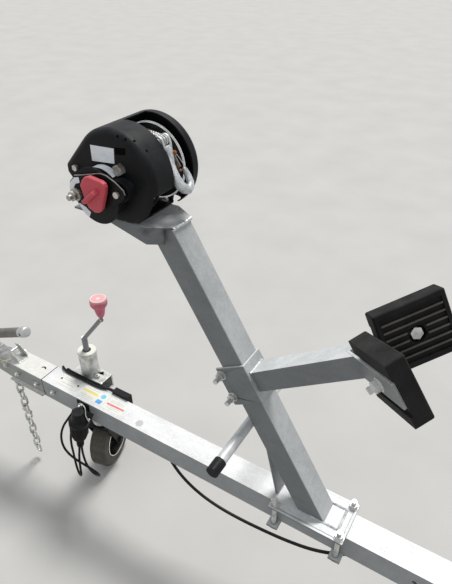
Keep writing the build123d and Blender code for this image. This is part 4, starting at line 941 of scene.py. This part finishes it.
add_swept(bm, [on_hook(32, 9, 8), on_hook(45, 12, 8.6), on_hook(60, 15, 8.4), on_hook(72, 18, 7.6)], 0.9, 8)
piece("latch_wire", bm, ROOT, "zinc_plated")
bm = bmesh.new()
for u, v, w, r in ((31, 8.0, 7.0, 5.0), (66, 5.0, 2.0, 3.0)):
    bmesh.ops.create_icosphere(bm, subdivisions=3, radius=r, matrix=Matrix.Translation(on_hook(u, v, w)))
piece("latch_rust", bm, ROOT, "rust")
LOOP_R = 2.9
LOOP_LEADS = [(-722, 20, 888), (-705, 22, 889), (-690, 25, 887.5)]
LOOP_ROUND_PIN = [(-6, 9.5), (2.5, 9.8), (8.5, 5), (9, -3), (4, -8.6), (-3, -9)]
bm = bmesh.new()
for shift in (-3.6, 3.6):
    line = [(x, y + shift, z) for x, y, z in LOOP_LEADS]
    line += [(PIN.x + x, PIN.y + shift, PIN.z + z) for x, z in LOOP_ROUND_PIN]
    add_swept(bm, smooth_line(line), lambda i, a: LOOP_R * (0.9 + 0.1 * math.cos(6 * a)), 18, spin=0.5)
piece("rope_loop", bm, ROOT, "bright_rope")

# Plug: grip ribs, neck rings, the bright bail wire of the holder and the lid's hinge tab
PLUG_AT = Vector((-996, -68, 24))
PLUG_DOWN = Vector((-0.1564, 0, -0.9877))
plug_frame = frame_at(PLUG_AT, PLUG_DOWN, (0, 1, 0))
RIBS, RIB_FOOT_R, RIB_TOP_R = 12, 27.0, 28.6
bm = bmesh.new()
for k in range(RIBS):
    a = 2 * math.pi * k / RIBS
    rib = [(RIB_FOOT_R * math.cos(a + d), RIB_FOOT_R * math.sin(a + d)) for d in (-0.07, 0.07)]
    rib += [(RIB_TOP_R * math.cos(a + d), RIB_TOP_R * math.sin(a + d)) for d in (0.045, -0.045)]
    add_prism(bm, rib, 62, 98, plug_frame)
piece("plug_ribs", bm, ROOT, "black_rubber", edge=0.4)
bm = bmesh.new()
for t in (133, 139, 145, 151, 157):
    add_turned(bm, [(9.8, t), (12.0, t + 1), (12.0, t + 3), (9.8, t + 4)], plug_frame, 28, looped=True)
piece("plug_neck_rings", bm, ROOT, "black_rubber")
bm = bmesh.new()
bail = [(-1003, -50, 24), (-990, -58, 52), (-975, -64, 64), (-962, -66, 58), (-963, -66, 40),
        (-965.6, -66, 22), (-957, -66, 0)]
add_swept(bm, smooth_line(bail), 1.5, 10)
piece("bail_wire", bm, ROOT, "zinc_plated")
bm = bmesh.new()
tab_frame = frame_at((-962, -55, 20), (0.35, -0.75, 0.56), (0.6, 0.6, -0.5))
add_prism(bm, rounded_box(-16, 12, -7, 7, 3), 0, 3.2, tab_frame)
piece("lid_tab", bm, ROOT, "black_rubber", edge=0.6)

# Jockey bracket: nut, its opening as a dark plate of painted shade, and the strip that lies beside the leads
BRACKET_TOP = 33
nut_frame = frame_at((-1041, 68, BRACKET_TOP))
bm = bmesh.new()
add_turned(bm, [(10.5, 0), (10.5, 1.6), (0, 1.6)], nut_frame, 28)
add_prism(bm, polygon(6, 15, 0.4), 1.6, 8.5, nut_frame)
add_turned(bm, [(4.0, 8.5), (4.0, 12), (0, 12.3)], nut_frame, 18)
piece("bracket_nut", bm, ROOT, "zinc_plated", edge=0.4)
# The opening: painted shade
bm = bmesh.new()
add_prism(bm, [(-1056, 80), (-1030, 84), (-1042, 97)], -0.2, 0.3, frame_at((0, 0, BRACKET_TOP)))
piece("bracket_opening", bm, ROOT, "dark")
strip_outline = [(-1150, 33), (-1105, 32.6), (-1049, 27), (-1004, 25),
                 (-1004, 28), (-1049, 31), (-1105, 35), (-1150, 35)]
bm = bmesh.new()
add_prism(bm, strip_outline, -0.2, 1.6, TOP)
piece("bar_strip", bm, ROOT, "galvanised", edge=0.3)

# Jockey crank's knob: wide flat head, step, and neck; pale ring on the tube's end
KNOB = frame_at((-983, 74, 0))
KNOB_PROFILE = [
    (5.5, 296), (9, 296), (10.5, 299), (13.5, 309), (14.2, 317), (15.2, 318.5), (15.6, 322),
    (16.6, 326.5), (20.5, 331), (24.4, 338), (25, 346), (24.2, 355), (22.4, 358), (5.5, 358),
]
bm = bmesh.new()
add_turned(bm, KNOB_PROFILE, KNOB, 56, looped=True)
knob = piece("crank_knob", bm, "jockey_crank", "pink_plastic")
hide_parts("jockey_knob")
bm = bmesh.new()
add_turned(bm, [(21.5, 357.6), (22.6, 358.2), (21.8, 358.6), (18.5, 357.4), (0, 357.2)], KNOB, 56)
piece("knob_top", bm, "jockey_crank", "knob_top")
bm = bmesh.new()
add_turned(bm, [(13.2, 0.05), (28.6, 0.05), (28.6, 1.4), (27.6, 2.0), (14.2, 2.0), (13.2, 1.4)],
           frame_at((-1075, 74, 126)), 56, looped=True)
piece("tube_end_ring", bm, "jockey_outer", "tube_end")

# Bow pads: worn tops of their ribs, which leave the pad's bolt free in the middle
TILT, VEE = math.radians(34.3), math.radians(43.0)
ARM_DIR = Vector((math.cos(TILT), 0, math.sin(TILT)))
ARM_UP = Vector((-math.sin(TILT), 0, math.cos(TILT)))
ARM_ROOT, ARM_LEN, ARM_HALF = Vector((-440, 0, 416.05)), 264, 25
APEX = ARM_ROOT + ARM_DIR * (ARM_LEN - ARM_HALF / math.tan(VEE)) - ARM_UP * ARM_HALF
PAD_AT, RIB_PITCH, RIB_SHIFT, RIB_END, RIB_HALF = 128, 15, 2.6, 61, 1.9
BOLT_GAP, BOLT_REACH = 19, 17
for name, side, turned_by in (("left", -1, 1.0), ("right", 1, -7.0)):
    along = ARM_DIR * math.cos(VEE) + Vector((0, side * math.sin(VEE), 0))
    out = along.cross(ARM_DIR * math.sin(VEE) - Vector((0, side * math.cos(VEE), 0)))
    pad_at = frame_at(APEX + along * PAD_AT, out, along) @ Matrix.Rotation(math.radians(turned_by), 4, "Y")
    bm = bmesh.new()
    for n in range(-3, 3):
        z = -side * RIB_SHIFT + RIB_PITCH * (n + 0.5)
        whole = ((-RIB_END, RIB_END),)
        split = ((-RIB_END, -BOLT_GAP), (BOLT_GAP, RIB_END))
        for x0, x1 in split if abs(z) < BOLT_REACH else whole:
            corners = ((x0, -RIB_HALF), (x1, -RIB_HALF), (x1, RIB_HALF), (x0, RIB_HALF))
            add_rings(bm, [[pad_at @ Vector((x, y, z + dz)) for x, dz in corners] for y in (37.4, 38.3)])
    piece("pad_ribs_" + name, bm, "bow_stop", "worn_rubber", edge=0.4)

# Jockey wheel: bright lips of the rim and the tread's ribs
WHEEL, WHEEL_TURN = Vector((-1082.8, 103.0, -312)), math.radians(15)
wheel_frame = frame_at(WHEEL, (math.cos(WHEEL_TURN), math.sin(WHEEL_TURN), 0), (0, 0, 1))
LIP_R, LIP_AT, RIB_EDGE_R, RIB_R = 61.5, 30.5, 98.8, 100.0
for name, h in (("near", -LIP_AT), ("far", LIP_AT)):
    bm = bmesh.new()
    add_swept(bm, [wheel_frame @ Vector((LIP_R * math.cos(a), LIP_R * math.sin(a), h))
                   for a in (2 * math.pi * k / 72 for k in range(72))], 1.7, 10, looped=True)
    piece("rim_lip_" + name, bm, "jockey_wheel", "bright_edge")
bm = bmesh.new()
for h in (-18, -6, 6, 18):
    profile = [(RIB_EDGE_R, h - 4.6), (RIB_R, h - 4.0), (RIB_R, h + 4.0), (RIB_EDGE_R, h + 4.6)]
    add_turned(bm, profile, wheel_frame, 96, looped=True)
piece("tyre_ribs", bm, "jockey_wheel", "grey_rubber")


# Stage: pale floor, even sky and a soft sun; both floor and sky are brighter to look at than as light
FLOOR_HALF_M = 30.0
SKY_LIGHT, SKY_SEEN = 0.55, 0.72
SUN_FROM = Vector((0.0, 0.46, 0.89))


def stage():
    bm = bmesh.new()
    bmesh.ops.create_grid(bm, x_segments=1, y_segments=1, size=FLOOR_HALF_M)
    mesh = bpy.data.meshes.new("floor")
    bm.to_mesh(mesh)
    bm.free()
    floor = bpy.data.objects.new("floor", mesh)
    floor.location = (0, 0, FLOOR_Z_M)
    bpy.context.scene.collection.objects.link(floor)
    s = Surface("pale_floor", rough=0.9)
    pale = s.ramp(s.noise(3, 3), [(0.3, (0.50, 0.495, 0.48)), (0.7, (0.54, 0.535, 0.52))])
    s.set("Base Color", s.blend(s.looked_at(), (0.36, 0.35, 0.33), pale))
    mesh.materials.append(s.made)
    floor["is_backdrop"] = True

    world = bpy.data.worlds.new("studio")
    bpy.context.scene.world = world
    world.use_nodes = True
    sky = Nodes(world.node_tree)
    back = world.node_tree.nodes["Background"]
    strength = sky.add("ShaderNodeMix", {0: sky.looked_at(), 2: SKY_LIGHT, 3: SKY_SEEN}, data_type="FLOAT")
    sky.feed(back.inputs["Strength"], strength.outputs[0])
    sky.feed(back.inputs["Color"], (0.96, 0.98, 1.0))

    sun = bpy.data.lights.new("sun", "SUN")
    sun.energy = 2.6
    sun.angle = math.radians(18)
    sun.color = (1.0, 0.985, 0.96)
    lamp = bpy.data.objects.new("sun", sun)
    lamp.rotation_euler = SUN_FROM.to_track_quat("Z", "Y").to_euler()
    bpy.context.scene.collection.objects.link(lamp)
    bpy.context.scene.view_settings.view_transform = "Standard"


stage()
low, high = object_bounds()
{"cad": [list(cad_low), list(cad_high)], "visual": [list(low), list(high)]}
